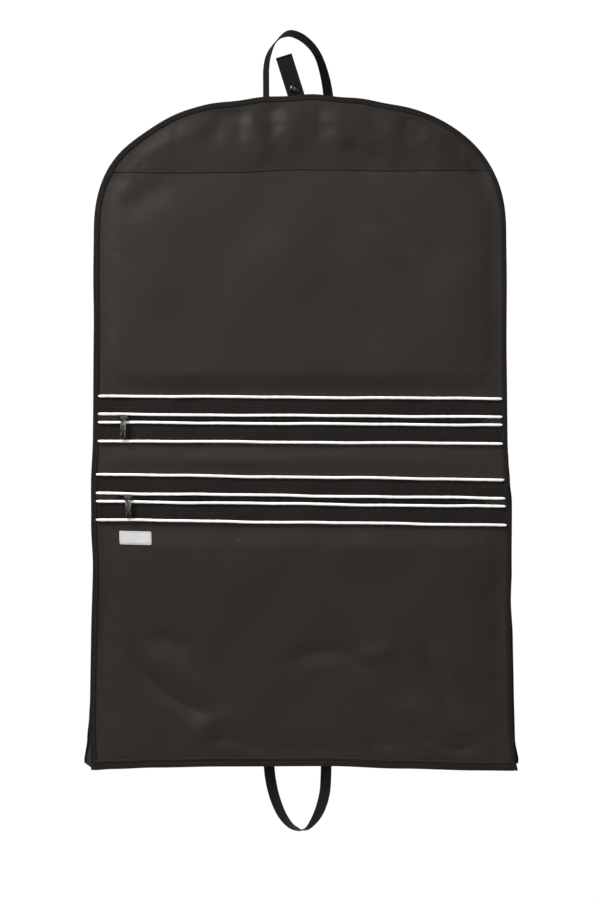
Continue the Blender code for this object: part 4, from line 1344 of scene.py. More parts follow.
@dataclass
class FrontPanels:
    """The yoke, the upper panel, the plain band between the pockets and the lower panel."""

    tailor: Tailor
    yoke_seam: Row = Row(-0.111, 0.0, ((-0.275, -0.0009), (-0.155, -0.0028), (-0.100, -0.0024), (0.0, 0.0018),
                                       (0.125, 0.0), (0.290, 0.0015)))
    thick: float = 0.0010
    middle: float = -0.0005
    seam_gap: float = 0.00015

    def build(self) -> None:
        """Make the four panels, their flat sizes and their seam stitching."""
        cut, gap = self.tailor, self.seam_gap
        seam_low = Row(self.yoke_seam.z - gap, 0.0, self.yoke_seam.bends)
        yoke = cut.layer("yoke", None, self.yoke_seam, self.middle + 0.0004, self.thick)
        SHELF.dress(yoke, YOKE)
        attach(yoke, UPPER, "front_yoke")

        upper = cut.layer("upper_panel", seam_low, Row(-0.446, -0.0068), self.middle, self.thick)
        SHELF.dress(upper, SHELL)
        attach(upper, UPPER, "front_upper_panel")

        middle = cut.layer("middle_panel", Row(-0.5125, -0.0068), Row(-0.564, -0.0129), self.middle,
                           self.thick)
        SHELF.dress(middle, SHELL)
        attach(middle, None, "front_mid_upper", "front_mid_lower")

        lower = cut.layer("lower_panel", Row(-0.631, -0.0129), None, self.middle, self.thick)
        SHELF.dress(lower, SHELL_LOW)
        attach(lower, LOWER, "front_lower_panel")

        cut.seam("yoke_topstitch", Row(self.yoke_seam.z + 0.0022, 0.0, self.yoke_seam.bends), 0.0006, 0.009,
                 THREAD, UPPER)
        self.build_yoke_fold()
        self.build_hem()

    def build_yoke_fold(self) -> None:
        """The yoke's turned edge, which stands a little proud of the panel below it."""
        half = float(self.tailor.outline.half(self.yoke_seam.z, 0.006))
        x = np.linspace(-half, half, 220)
        path = self.tailor.drape.at(x, self.yoke_seam.at(x) + 0.0004, 0.0005)
        across = np.broadcast_to(np.array([0.0, 0.0, 1.0]), path.shape)
        piece = swept("yoke_turned_edge", path, across, flat_section(0.0022, 0.0012, 7))
        SHELF.dress(piece, YOKE)
        attach(piece, UPPER)

    def build_hem(self) -> None:
        """The hem's turned strip along the foot of the lower panel, with two rows of stitches."""
        outline, drape = self.tailor.outline, self.tailor.drape
        x = np.linspace(-outline.half_width_at_hem + 0.001, outline.half_width_at_hem - 0.001, 200)
        path = drape.at(x, np.full(200, -outline.length + 0.0125), 0.0006)
        across = np.broadcast_to(np.array([0.0, 0.0, 1.0]), path.shape)
        ridge = swept("hem_turned_edge", path, across, flat_section(0.0030, 0.0016, 7))
        SHELF.dress(ridge, SHELL_LOW)
        attach(ridge, LOWER)
        for number, height in enumerate((0.0098, 0.0154), start=1):
            self.tailor.seam(f"hem_stitch_{number}", Row(-outline.length + height), 0.0008, 0.008, THREAD,
                             LOWER)


# ---------------------------------------------------------------- zip sliders


@dataclass
class SliderKit:
    """A zip slider with its bridge, and a pull that hangs from the bridge's bar."""

    name: str
    place: tuple[float, float, float]
    nose: float
    face: Face = Face.FRONT
    tilt: float = 0.0
    lift: float = 0.0011
    thick: float = 0.0035
    bar_lift: float = 0.0078

    def world(self, points: Points, origin: Sequence[float]) -> Points:
        """Points of the front-facing kit, turned to its face and moved to an origin."""
        points = np.array(points, float)
        if self.face is Face.BACK:
            points = points * (-1, -1, 1)
        return points + np.array(origin)

    def plate(self, half: Points, low: float, high: float, edge: float = 0.0004) -> Points:
        """A flat plate of an (x, z) outline between two depths, with rounded edges.

        Args:
            half: the outline, counter-clockwise.
            low: its depth at the cloth.
            high: its depth at the viewer.
            edge: the rounding.

        Returns:
            Rings for a loft.
        """
        centre = half.mean(axis=0)
        rings = []
        for y, inwards in ((low, 1.0), (low - edge * 0.3, 0.3), (low - edge, 0.0), (high + edge, 0.0),
                           (high + edge * 0.3, 0.3), (high, 1.0)):
            away = half - centre
            scaled = centre + away * (1 - inwards * edge / np.maximum(np.linalg.norm(away, axis=1),
                                                                      1e-9))[:, None]
            rings.append(np.stack([scaled[:, 0], np.full(len(half), y), scaled[:, 1]], axis=1))
        return np.array(rings)

    def joined(self, name: str, parts: Sequence[Points], origin: Sequence[float]) -> bpy.types.Object:
        """Several closed lofts as one piece.

        Args:
            name: the piece's name.
            parts: the rings of each loft.

        Returns:
            The piece.
        """
        points, faces = [], []
        for rings in parts:
            made, quads = loft_parts(np.array(rings), False, sum(len(p) for p in points))
            points.append(made)
            faces += quads
        piece = add_piece(name, self.world(np.vstack(points), origin), faces, None, 35.0)
        SHELF.dress(piece, GUNMETAL)
        return piece

    def outline(self) -> Points:
        """The slider's outline, wide at its nose and narrow behind."""
        half = np.array([(-0.0066, 0.0018), (-0.0060, 0.0028), (-0.0048, 0.0035), (-0.0010, 0.0038),
                         (0.0030, 0.0042), (0.0054, 0.0042), (0.0064, 0.0036), (0.0067, 0.0022)])
        points = np.vstack([half, half[::-1] * (1, -1)])
        return points if self.face is Face.BACK else points * (-1, 1)

    def turned(self, points: Points) -> Points:
        """The outline in (x, z), along X on the front and along Z on the back."""
        if self.face is Face.BACK:
            return np.stack([points[:, 1], points[:, 0] * self.nose], axis=1)
        return points

    def build_slider(self, body: str, node: str) -> None:
        """The slider: two plates, a wedge between them, side walls and a bridge.

        Args:
            body: the body that it rides on.
            node: the CAD node that it stands for.
        """
        shape = self.outline()
        front = -self.lift - self.thick
        parts = [
            self.plate(self.turned(shape), -self.lift + 0.0004, -self.lift - 0.0008, 0.0003),
            self.plate(self.turned(shape), front + 0.0011, front, 0.0004),
        ]
        wedge = shape * (0.16, 0.5) + (shape[:, 0].max() * 0.78 * (1 if self.face is Face.BACK else -1), 0)
        parts.append(self.plate(self.turned(wedge), -self.lift, front + 0.0006, 0.0002))
        for side in (-1, 1):
            wall = shape * (0.72, 0.11) + (0, side * 0.0036)
            parts.append(self.plate(self.turned(wall), -self.lift - 0.0006, front + 0.0006, 0.0002))
        parts.append(self.bridge())
        piece = self.joined(f"{self.name}_slider_body", parts, self.place)
        attach(piece, body, node)

    def bridge(self) -> Points:
        """The arched bridge across the slider's face, whose top is the pull's bar."""
        foot = -self.lift - self.thick + 0.0006
        top = -self.bar_lift
        path = smooth_route(((-0.0046, foot), (-0.0046, top + 0.0012), (-0.0040, top + 0.0002),
                             (-0.0028, top),
                             (0.0028, top), (0.0040, top + 0.0002), (0.0046, top + 0.0012), (0.0046, foot)),
                             5)
        path3 = np.stack([path[:, 0], path[:, 1], np.zeros(len(path))], axis=1)
        along = tangents(path3)
        side = np.broadcast_to(np.array([0.0, 0.0, 1.0]), along.shape)
        out = np.cross(along, side)
        angles = 2 * np.pi * np.arange(10) / 10
        ring = np.stack([np.cos(angles), np.sin(angles)], axis=1) * 0.00074
        return path3[:, None] + side[:, None] * ring[None, :, :1] + out[:, None] * ring[None, :, 1:]

    def build_pull(self, body: str, node: str) -> None:
        """The pull: an eye round the bar, a ridged tab with raised rails, and a window at its foot.

        Args:
            body: the body that it rides on.
            node: the CAD node that it stands for.
        """
        half, foot = 0.0040, -0.031

        def rail(x: float, low: float, high: float, w: float, y0: float, y1: float) -> Points:
            """An upright bar of the pull, reaching w to either side of x."""
            corners = np.array([(x - w, low), (x + w, low), (x + w, high), (x - w, high)])
            return self.plate(corners, y0, y1, 0.00022)

        parts = [self.eye(side * 0.0021, 0.0011) for side in (-1, 1)]
        for side in (-1, 1):
            parts.append(rail(side * 0.0021, -0.0052, -0.0012, 0.0009, 0.0006, -0.0006))
            parts.append(rail(side * (half - 0.00055), foot + 0.0016, -0.0042, 0.00055, 0.00075, -0.00075))
        shoulder = np.array([(-half, -0.0056), (-0.0030, -0.0034), (0.0030, -0.0034), (half, -0.0056)])
        parts.append(self.plate(shoulder, 0.0007, -0.0007, 0.00025))
        parts.append(rail(0.0, -0.0212, -0.0046, half - 0.0008, 0.00042, -0.00042))
        for step in range(9):
            z = -0.0068 - step * 0.00165
            parts.append(rail(0.0, z - 0.00042, z + 0.00042, half - 0.0010, 0.00066, -0.00072))
        tip = np.array([(-half, foot + 0.0022), (-half + 0.0004, foot + 0.0008), (-half + 0.0014, foot),
                        (half - 0.0014, foot), (half - 0.0004, foot + 0.0008), (half, foot + 0.0022),
                        (0.0021, -0.0282), (-0.0021, -0.0282)])
        parts.append(self.plate(tip, 0.0007, -0.0007, 0.00025))
        parts.append(rail(0.0, -0.0216, -0.0204, half - 0.0007, 0.0007, -0.0007))
        for side in (-1, 1):
            parts.append(rail(side * 0.0029, -0.0286, -0.0208, 0.0007, 0.00062, -0.00062))
        lean = Matrix.Rotation(self.tilt, 3, "Y")
        parts = [np.array(rings) @ np.array(lean).T for rings in parts]
        origin = np.array(self.place) + (0, self.face.value * self.bar_lift, 0)
        piece = self.joined(f"{self.name}_pull_tab", parts, origin)
        attach(piece, body, node)

    def eye(self, x: float, half: float) -> Points:
        """One half of the pull's eye, a ring about the bar.

        Args:
            x: its place along the bar.
            half: half of its width.

        Returns:
            Rings that go round the bar and nearly meet.
        """
        rings = []
        for angle in np.linspace(-0.06 * math.pi, 1.9 * math.pi, 22) - math.pi / 2:
            c, s = math.cos(angle), math.sin(angle)
            corners = ((0.00125, -half), (0.00200, -half), (0.00215, 0.0), (0.00200, half), (0.00125, half))
            rings.append([(x + w, r * c, r * s) for r, w in corners])
        return np.array(rings)


# ---------------------------------------------------------------- zips and pockets


def coil_rows(name: str, path: Points, across: Points, out: Points, pitch: float = 0.0016,
              wide: float = 0.0050, thick: float = 0.0010) -> bpy.types.Object:
    """A closed nylon coil: loops from the left and from the right that lock along the middle.

    Args:
        name: the piece's name.
        path: the middle of the coil.
        across: the direction across it at each point.
        out: the direction out of the tape at each point.
        pitch: the distance between two loops.
        wide: the coil's width.
        thick: its wire's thickness.

    Returns:
        One object with every loop.
    """
    line = resampled(np.hstack([path, across, out]), pitch / 2)
    centre, side, up = line[:, :3], unit(line[:, 3:6]), unit(line[:, 6:])
    along = unit(np.gradient(centre, axis=0))
    angles = 2 * np.pi * np.arange(6) / 6
    profile = ((-0.50, -0.15), (-0.46, 0.22), (-0.20, 0.34), (0.06, 0.38), (0.17, 0.20))
    points, faces, uvs = [], [], []
    for number in range(len(centre)):
        sign = 1 if number % 2 else -1
        rings = []
        for share, high in profile:
            middle = centre[number] + side[number] * sign * share * wide + up[number] * thick * high * 1.4
            ring = np.cos(angles)[:, None] * along[number] * 0.80 + np.sin(angles)[:, None] * up[number] * 0.9
            rings.append(middle + ring * thick * 0.44)
        made, quads = loft_parts(np.array(rings), False, sum(len(p) for p in points))
        points.append(made)
        faces += quads
        uvs.append(np.stack([np.tile(angles * thick, len(profile)),
                             np.repeat(np.arange(len(profile)) * wide / 6, 6)], axis=1))
    return add_piece(name, np.vstack(points), faces, np.vstack(uvs), None)


@dataclass
class ZipPocket:
    """A zipped pocket on the front: two ribbed bands, four white pipings, the zip and its lining."""

    number: int
    tailor: Tailor
    rows: tuple[float, float, float, float]
    slope: float
    lining: tuple[float, float]
    slider_x: float
    wobble: float
    body: str
    ribs: int = 9
    piping_radius: float = 0.0020
    binding_wide: float = 0.0070

    @property
    def name(self) -> str:
        """The pocket's name, as in the CAD's nodes."""
        return f"pocket{self.number}"

    def rides(self, z: float) -> str | None:
        """The body of a layer at a height, or None between the fold's start and end."""
        if z > FOLD_START[2] + 0.001:
            return UPPER
        return LOWER if z < FOLD_END[2] - 0.001 else None

    def middle(self) -> float:
        """The zip's height in the middle of the bag."""
        return (self.rows[1] + self.rows[2]) / 2

    def build(self) -> None:
        """Make every piece of the pocket."""
        for number, z in enumerate(self.rows, start=1):
            self.build_piping(number, z)
        self.build_band("upper", self.rows[0], self.rows[1])
        self.build_band("lower", self.rows[2], self.rows[3])
        self.build_zip()
        self.build_end_tabs()
        self.build_lining()
        x = self.slider_x
        kit = SliderKit(self.name, (x, -0.016, self.middle() + self.slope * x), -1.0,
                        tilt=0.035 * (3 - 2 * self.number))
        kit.build_slider(f"{self.name}_slider", f"{self.name}_slider")
        kit.build_pull(f"{self.name}_pull", f"{self.name}_pull")

    def line(self, z: float, x: Points, waves: float = 1.0) -> Points:
        """A seam's height along the bag, with the small waves that sewing leaves.

        Args:
            z: the seam's height in the middle.
            x: places across the bag.
            waves: how strong the waves are.

        Returns:
            The heights.
        """
        phase = z * 90.0
        wave = np.sin(x * 21 + phase) * 0.5 + np.sin(x * 49 + 2.3 * phase) * 0.32
        wave = wave + np.sin(x * 97 + phase) * 0.12
        return z + self.slope * x + self.wobble * waves * wave

    def build_piping(self, number: int, z: float) -> None:
        """One round white piping.

        Args:
            number: its number from the top.
            z: its height in the middle of the bag.
        """
        half = float(self.tailor.outline.half(z, self.binding_wide + 0.0004))
        x = np.linspace(-half, half, 260)
        heights = self.line(z, x)
        path = self.tailor.drape.at(x, heights, 0.0)
        path[:, 1] = -0.0186 + 0.00015 * np.sin(x * 61 + z * 40)
        along = tangents(path)
        up = np.cross(along, np.array([0.0, -1.0, 0.0]))
        angles = 2 * np.pi * np.arange(14) / 14
        swell = 1 + 0.05 * np.sin(x * 400 + z * 70) * np.sin(x * 37)
        swell[[0, -1]] = 0.55
        swell[[1, -2]] = 0.9
        ring = np.cos(angles)[None, :, None] * np.array([0.0, -1.0,
                                                         0.0]) + np.sin(angles)[None, :, None] * up[:, None]
        rings = path[:, None] + ring * (self.piping_radius * swell)[:, None, None]
        length = run_lengths(path)
        uv = np.stack(np.broadcast_arrays((angles * self.piping_radius)[None, :], length[:, None]), axis=2)
        piece = loft(f"{self.name}_white_piping_{number}", rings, False, uv, 60.0)
        SHELF.dress(piece, PIPING)
        attach(piece, self.rides(z), f"{self.name}_piping_{number}")

    def build_band(self, name: str, top: float, foot: float) -> None:
        """A band of ribbed knit: ribs run across it and are pulled into soft vertical puckers.

        Args:
            name: upper or lower.
            top: its upper seam.
            foot: its lower seam.
        """
        tailor = self.tailor
        share = tailor.columns() * (1 - 0.004 / 0.305)
        rows = self.ribs * 6
        t = np.linspace(0, 1, rows + 1)[:, None]
        x = share[None, :] * tailor.outline.wide(np.full_like(t, (top + foot) / 2))
        z = self.line(top, x) * (1 - t) + self.line(foot, x) * t
        rib = 0.00036 * np.abs(np.cos(math.pi * self.ribs * t + 0.02)) ** 0.7
        body = np.sin(math.pi * t)
        pucker = 0.00042 * body * (np.sin(x * 330 + 3 * np.sin(x * 21)) + 0.8 * np.sin(x * 610 + top * 50))
        pucker = pucker + 0.0005 * body * np.sin(x * 72 + top * 300)
        bulge = 0.0006 * body
        middle = tailor.drape.at(x, z, -0.00015)
        middle[..., 1] -= rib + pucker * 0.7 + bulge
        piece = sheet_solid(f"{self.name}_band_{name}_rib", middle, 0.0011, np.stack([x, z], axis=2))
        SHELF.dress(piece, RIBBED)
        inside = self.rides(top) if self.rides(top) == self.rides(foot) else None
        attach(piece, inside, f"{self.name}_band_{name}")

    def build_zip(self) -> None:
        """The zip's two tapes with a chain of interlocked coil loops between them."""
        tailor, z = self.tailor, self.middle()
        half = float(tailor.outline.half(z, self.binding_wide))
        x = np.linspace(-half, half, 220)
        t = np.linspace(0, 1, 13)[:, None]
        top, foot = self.line(self.rows[1], x, 0.4), self.line(self.rows[2], x, 0.4)
        wide_z = top[None, :] * (1 - t) + foot[None, :] * t
        wide_x = np.broadcast_to(x[None, :], wide_z.shape)
        middle = np.stack([wide_x, np.full_like(wide_z, -0.0148), wide_z], axis=2)
        middle[..., 1] -= 0.0003 * np.abs(np.sin(t * math.pi * 2))
        px, pz = tailor.outline.placed(wide_x, wide_z, Face.FRONT)
        middle[..., 0], middle[..., 2] = px, pz
        tape = sheet_solid(f"{self.name}_zip_tape", middle, 0.0007, np.stack([wide_x, wide_z], axis=2))
        SHELF.dress(tape, ZIP_TAPE)
        attach(tape, self.rides(z), f"{self.name}_zip")

        line = z + self.slope * x
        px, pz = tailor.outline.placed(x, line, Face.FRONT)
        path = np.stack([px, np.full_like(px, -0.0159), pz], axis=1)
        up = np.broadcast_to(np.array([0.0, 0.0, 1.0]), path.shape)
        out = np.broadcast_to(np.array([0.0, -1.0, 0.0]), path.shape)
        coil = coil_rows(f"{self.name}_zip_coil", path, up, out)
        SHELF.dress(coil, COIL)
        attach(coil, self.rides(z))

    def build_end_tabs(self) -> None:
        """The cloth tabs sewn over both ends of the zip."""
        tailor = self.tailor
        for side_name, side in (("left", -1), ("right", 1)):
            outer = side * float(tailor.outline.half(self.middle(), self.binding_wide + 0.0004))
            inner = outer - side * 0.030
            x = np.linspace(min(outer, inner), max(outer, inner), 26)[None, :]
            t = np.linspace(0, 1, 11)[:, None]
            room = self.piping_radius * 0.6
            top, foot = self.line(self.rows[1], x) - room, self.line(self.rows[2], x) + room
            z = top * (1 - t) + foot * t
            x = np.broadcast_to(x, z.shape)
            middle = tailor.drape.at(x, z, 0.0)
            middle[..., 1] = -0.0174 - 0.0005 * np.sin(math.pi * t) * np.ones_like(x)
            middle[..., 1] += 0.00012 * np.sin(x * 420)
            piece = sheet_solid(f"{self.name}_end_tab_{side_name}", middle, 0.0007, np.stack([x, z], axis=2))
            SHELF.dress(piece, SHELL_LOW)
            attach(piece, self.rides(self.middle()), f"{self.name}_zip_tab_{side_name}")
            edge = inner + side * 0.0018
            heights = np.linspace(float(top.mean()) - 0.001, float(foot.mean()) + 0.001, 8)
            seam = tailor.drape.at(np.full(8, edge), heights, 0.0)
            seam[:, 1] = -0.0182
            row = stitch_row(f"{self.name}_end_tab_stitch_{side_name}", seam, tailor.drape.out_of(seam),
                             0.0022, 0.0008)
            SHELF.dress(row, THREAD)
            attach(row, self.rides(self.middle()))

    def build_lining(self) -> None:
        """The pocket's inner sheet, behind the panel."""
        high, low = self.lining
        piece = self.tailor.layer(f"{self.name}_inner_lining", Row(high), Row(low), -0.0058, 0.0005,
                                  inset=0.012,
                                  cell=0.008)
        SHELF.dress(piece, LINING)
        attach(piece, None if self.number == 1 else LOWER, f"{self.name}_lining")


# ---------------------------------------------------------------- label


@dataclass
class WovenLabel:
    """The plain woven label below the second pocket, sewn on along its border."""

    drape: Drape
    centre: tuple[float, float] = (-0.2462, -0.6540)
    size: tuple[float, float] = (0.0476, 0.0198)
    tilt: float = math.radians(1.4)
    thick: float = 0.0008
    corner: float = 0.0016

    def spot(self, u: Points, v: Points, out: float) -> Points:
        """Points of the label from places on it, u across and v up, in metres."""
        cos, sin = math.cos(-self.tilt), math.sin(-self.tilt)
        x = self.centre[0] + u * cos - v * sin
        z = self.centre[1] + u * sin + v * cos
        return self.drape.at(x, z, out)

    def build(self) -> None:
        """Make the label and its border stitching."""
        wide, tall = self.size
        u = np.linspace(-1, 1, 41)[None, :] * wide / 2
        v = np.linspace(1, -1, 23)[:, None] * tall / 2
        u, v = np.broadcast_arrays(u, v)
        inset = self.corner * (1 - np.sqrt(np.clip(1 - (np.clip(np.abs(v) - tall / 2 + self.corner, 0, None)
                                                        / self.corner) ** 2, 0, 1)))
        u = np.clip(u, -(wide / 2 - inset), wide / 2 - inset)
        centre = self.spot(u, v, 0.0)
        border = np.minimum(wide / 2 - np.abs(u), tall / 2 - np.abs(v))
        centre[..., 1] += -0.0008 - 0.00045 * smooth_step(border, 0.0, 0.0030)
        centre[..., 1] += 0.00022 * np.exp(-(((border - 0.0017) / 0.0006) ** 2))
        piece = sheet_solid("woven_label", centre, self.thick, np.stack([u, v], axis=2))
        SHELF.dress(piece, LABEL)
        attach(piece, LOWER, "label")

        a, b = wide / 2 - 0.0017, tall / 2 - 0.0017
        loop = resampled(np.array([(-a, -b), (a, -b), (a, b), (-a, b)]), 0.001, True)
        path = self.spot(loop[:, 0], loop[:, 1], 0.0)
        path[:, 1] -= 0.00155
        row = stitch_row("label_border_stitch", path, self.drape.out_of(path), 0.0018, 0.0007, 0.0004, True)
        SHELF.dress(row, LABEL_THREAD)
        attach(row, LOWER)


# ---------------------------------------------------------------- back and sides


@dataclass
class BackPanels:
    """The two back panels and the long zip between them, which opens from both ends."""

    tailor: Tailor
    tape_half: float = 0.013
    slider_upper_z: float = -0.066
    slider_lower_z: float = -0.954
    coil_top: float = -0.048
    coil_foot: float = -0.978

    def build(self) -> None:
        """Make the panels, the zip, the rows of stitches beside it, and the two sliders."""
        inner = self.tape_half + 0.0006
        for side_name, side in (("left", -1), ("right", 1)):
            reach = (inner / 0.3076, 0.994) if side > 0 else (-0.994, -inner / 0.3076)
            piece = self.tailor.layer(f"back_panel_{side_name}", None, None, -0.0005, 0.001, Face.BACK,
                                      inset=0.0050,
                                      cell=0.0062, reach=reach)
            SHELF.dress(piece, SHELL_LOW)
            attach(piece, None, f"back_upper_{side_name}", f"back_lower_{side_name}")
            self.build_seam(side_name, side * (inner + 0.0030))
            self.build_turned_edge(side_name, side * (inner + 0.0006))
        self.build_zip()
        for name, z, nose in (("upper", self.slider_upper_z, 1.0), ("lower", self.slider_lower_z, -1.0)):
            kit = SliderKit(f"back_zip_{name}", (0.0, 0.016, z), nose, Face.BACK)
            kit.build_slider(f"back_zip_{name}_slider", f"back_zip_{name}_slider")
            kit.build_pull(f"back_zip_{name}_pull", f"back_zip_{name}_pull")

    def heights(self, margin: float, count: int) -> Points:
        """Heights down the back from below the crown to above the hem."""
        return np.linspace(-margin, -0.995 + margin, count)

    def build_seam(self, name: str, x: float) -> None:
        """The row of stitches beside the zip."""
        z = self.heights(0.012, 400)
        path = self.tailor.drape.at(np.full(400, x), z, 0.0004, Face.BACK)
        row = stitch_row(f"back_zip_stitch_{name}", path, self.tailor.drape.out_of(path, Face.BACK))
        SHELF.dress(row, THREAD)
        attach(row, None)

    def build_turned_edge(self, name: str, x: float) -> None:
        """The panel's turned edge along the zip."""
        z = self.heights(0.008, 300)
        path = self.tailor.drape.at(np.full(300, x), z, 0.0003, Face.BACK)
        across = np.broadcast_to(np.array([1.0, 0.0, 0.0]), path.shape)
        piece = swept(f"back_turned_edge_{name}", path, across, flat_section(0.0034, 0.0014, 7))
        SHELF.dress(piece, SHELL_LOW)
        attach(piece, None)

    def build_zip(self) -> None:
        """The back zip's tape and its coil, over the whole length of the bag."""
        z = self.heights(0.008, 240)[:, None]
        x = np.linspace(-self.tape_half, self.tape_half, 13)[None, :]
        x, z = np.broadcast_arrays(x, z)
        px, pz = self.tailor.outline.placed(x, z, Face.BACK)
        y = 0.0149 + 0.0002 * np.cos(x / self.tape_half * math.pi * 3)
        tape = sheet_solid("back_zip_tape", np.stack([px, y, pz], axis=2), 0.0007, np.stack([z, x], axis=2))
        SHELF.dress(tape, ZIP_TAPE)
        attach(tape, None, "back_zip_upper", "back_zip_lower")
        heights = np.linspace(self.coil_top, self.coil_foot, 500)
        px, pz = self.tailor.outline.placed(np.zeros(500), heights, Face.BACK)
        path = np.stack([px, np.full(500, 0.0159), pz], axis=1)
        side = np.broadcast_to(np.array([1.0, 0.0, 0.0]), path.shape)
        out = np.broadcast_to(np.array([0.0, 1.0, 0.0]), path.shape)
        coil = coil_rows("back_zip_coil", path, side, out)
        SHELF.dress(coil, COIL)
        attach(coil, None)


@dataclass
class Gussets:
    """The narrow walls that join the front to the back, bowed in where nothing fills the bag."""

    tailor: Tailor
    slot_half: float = 0.0352
    slot_x: float = -0.004
    inset: float = 0.0040
    thick: float = 0.0010

    def wall(self, name: str, line: Points, bow: float, rows: int = 11) -> bpy.types.Object:
        """A wall along a line (x, z) of the outline, between the front's edge and the back's.

        Args:
            name: the piece's name.
            line: points (x, z) on the flat outline.
            bow: how far its middle sinks inwards.
            rows: points through the bag's depth.

        Returns:
            The piece.
        """
        drape = self.tailor.drape
        front = drape.at(line[:, 0], line[:, 1], -0.0013, Face.FRONT)
        back = drape.at(line[:, 0], line[:, 1], -0.0013, Face.BACK)
        along = tangents(line)
        inwards = np.stack([-along[:, 1], np.zeros(len(line)), along[:, 0]], axis=1)
        length = run_lengths(line)
        ripple = 1 + 0.30 * np.sin(length * 37) + 0.22 * np.sin(length * 83 + 1.0)
        ends = np.minimum(length, length[-1] - length)
        bowed = bow * ripple * (0.25 + 0.75 * smooth_step(ends, 0.0, 0.03))
        t = np.linspace(0, 1, rows)[:, None, None]
        deep = np.sin(math.pi * t) ** 0.8
        middle = front[None] * (1 - t) + back[None] * t + inwards[None] * deep * bowed[None, :, None]
        uv = np.stack(np.broadcast_arrays(t[..., 0] * 0.03, length[None, :]), axis=2)
        return sheet_solid(name, middle, self.thick, uv)

    def build(self) -> None:
        """Make the walls round the arch, down both sides and along the hem."""
        outline = self.tailor.outline
        rim = outline.rim(self.inset, 0.004, hem=False)
        split = -outline.arch_drop
        for side_name, side in (("left", -1), ("right", 1)):
            on_side = rim[rim[:, 0] * side > 0]
            arch = on_side[on_side[:, 1] > split + 0.0005]
            end = self.slot_x + side * self.slot_half
            arch = arch[arch[:, 0] * side > end * side]
            wall = self.wall(f"gusset_arch_wall_{side_name}", arch, 0.0034)
            SHELF.dress(wall, SHELL)
            attach(wall, UPPER, f"gusset_arch_{side_name}")
            down = on_side[on_side[:, 1] <= split + 0.0005]
            wall = self.wall(f"gusset_side_wall_{side_name}", down, 0.0058)
            SHELF.dress(wall, SHELL)
            attach(wall, None, f"gusset_side_upper_{side_name}", f"gusset_side_lower_{side_name}")
        half = outline.half_width_at_hem - self.inset
        hem = np.stack([np.linspace(-half, half, 160), np.full(160, -outline.length + self.inset)], axis=1)
        wall = self.wall("gusset_bottom_wall", hem, 0.0030)
        SHELF.dress(wall, SHELL_LOW)
        attach(wall, LOWER, "gusset_bottom")


@dataclass
class Bindings:
    """The tape folded over the front and back edges and sewn through near its inner edge."""

    tailor: Tailor
    wide: float = 0.0072
    thick: float = 0.0011
    front_out: float = 0.0013
    back_out: float = 0.0003

    def build(self) -> None:
        """Make both bindings, each with its row of stitches."""
        outline, drape = self.tailor.outline, self.tailor.drape
        for face, out, stem in ((Face.FRONT, self.front_out, "front"), (Face.BACK, self.back_out, "back")):
            middle = outline.rim(self.wide / 2, 0.0035)
            centre = drape.at(middle[:, 0], middle[:, 1], out, face)
            toward = tangents(middle, True)
            inwards = np.stack([-toward[:, 1], np.zeros(len(middle)), toward[:, 0]], axis=1)
            section = self.folded_section()
            piece = self.tape(f"binding_tape_{stem}", centre, inwards, section, face)
            SHELF.dress(piece, BINDING)
            attach(piece, None, f"binding_{stem}_upper", f"binding_{stem}_lower")
            line = outline.rim(self.wide - 0.0013, 0.0035)
            path = drape.at(line[:, 0], line[:, 1], out + self.thick / 2 + 0.0001, face)
            row = stitch_row(f"binding_stitch_{stem}", path, drape.out_of(path, face), 0.0030, 0.0012,
                             0.0006, True)
            SHELF.dress(row, THREAD)
            attach(row, None)

    def folded_section(self) -> Points:
        """The tape's cross-section (inwards, outwards): flat inside, and rolled over the edge."""
        half = self.wide / 2
        outer = [(half, 0.35), (half - 0.0004, 0.5), (half - 0.0016, 0.42), (0.0, 0.55),
                 (-half + 0.0022, 0.62),
                 (-half + 0.0009, 0.55), (-half + 0.0001, 0.15), (-half - 0.0003, -0.6),
                 (-half + 0.0002, -1.4),
                 (-half + 0.0014, -1.75), (-half + 0.0026, -1.65), (-half + 0.0026, -1.3),
                 (-half + 0.0020, -0.9),
                 (0.0, -0.5), (half - 0.0004, -0.45), (half, -0.2)]
        return np.array([(a, b * self.thick) for a, b in outer])

    def tape(self, name: str, centre: Points, inwards: Points, section: Points,
             face: Face) -> bpy.types.Object:
        """The tape round the bag, from its section at every point."""
        out = np.array([0.0, face.value, 0.0])
        length = run_lengths(centre)
        crimp = 1 + 0.05 * np.sin(length * 230)[:, None]
        deep = (section[None, :, 1] * crimp)[..., None]
        rings = centre[:, None] + inwards[:, None] * section[None, :, :1] + out * deep
        uv = np.stack(np.broadcast_arrays(section[None, :, 0], length[:, None]), axis=2)
        return loft(name, rings, True, uv, 50.0)


# ---------------------------------------------------------------- top: slot, handle and tab


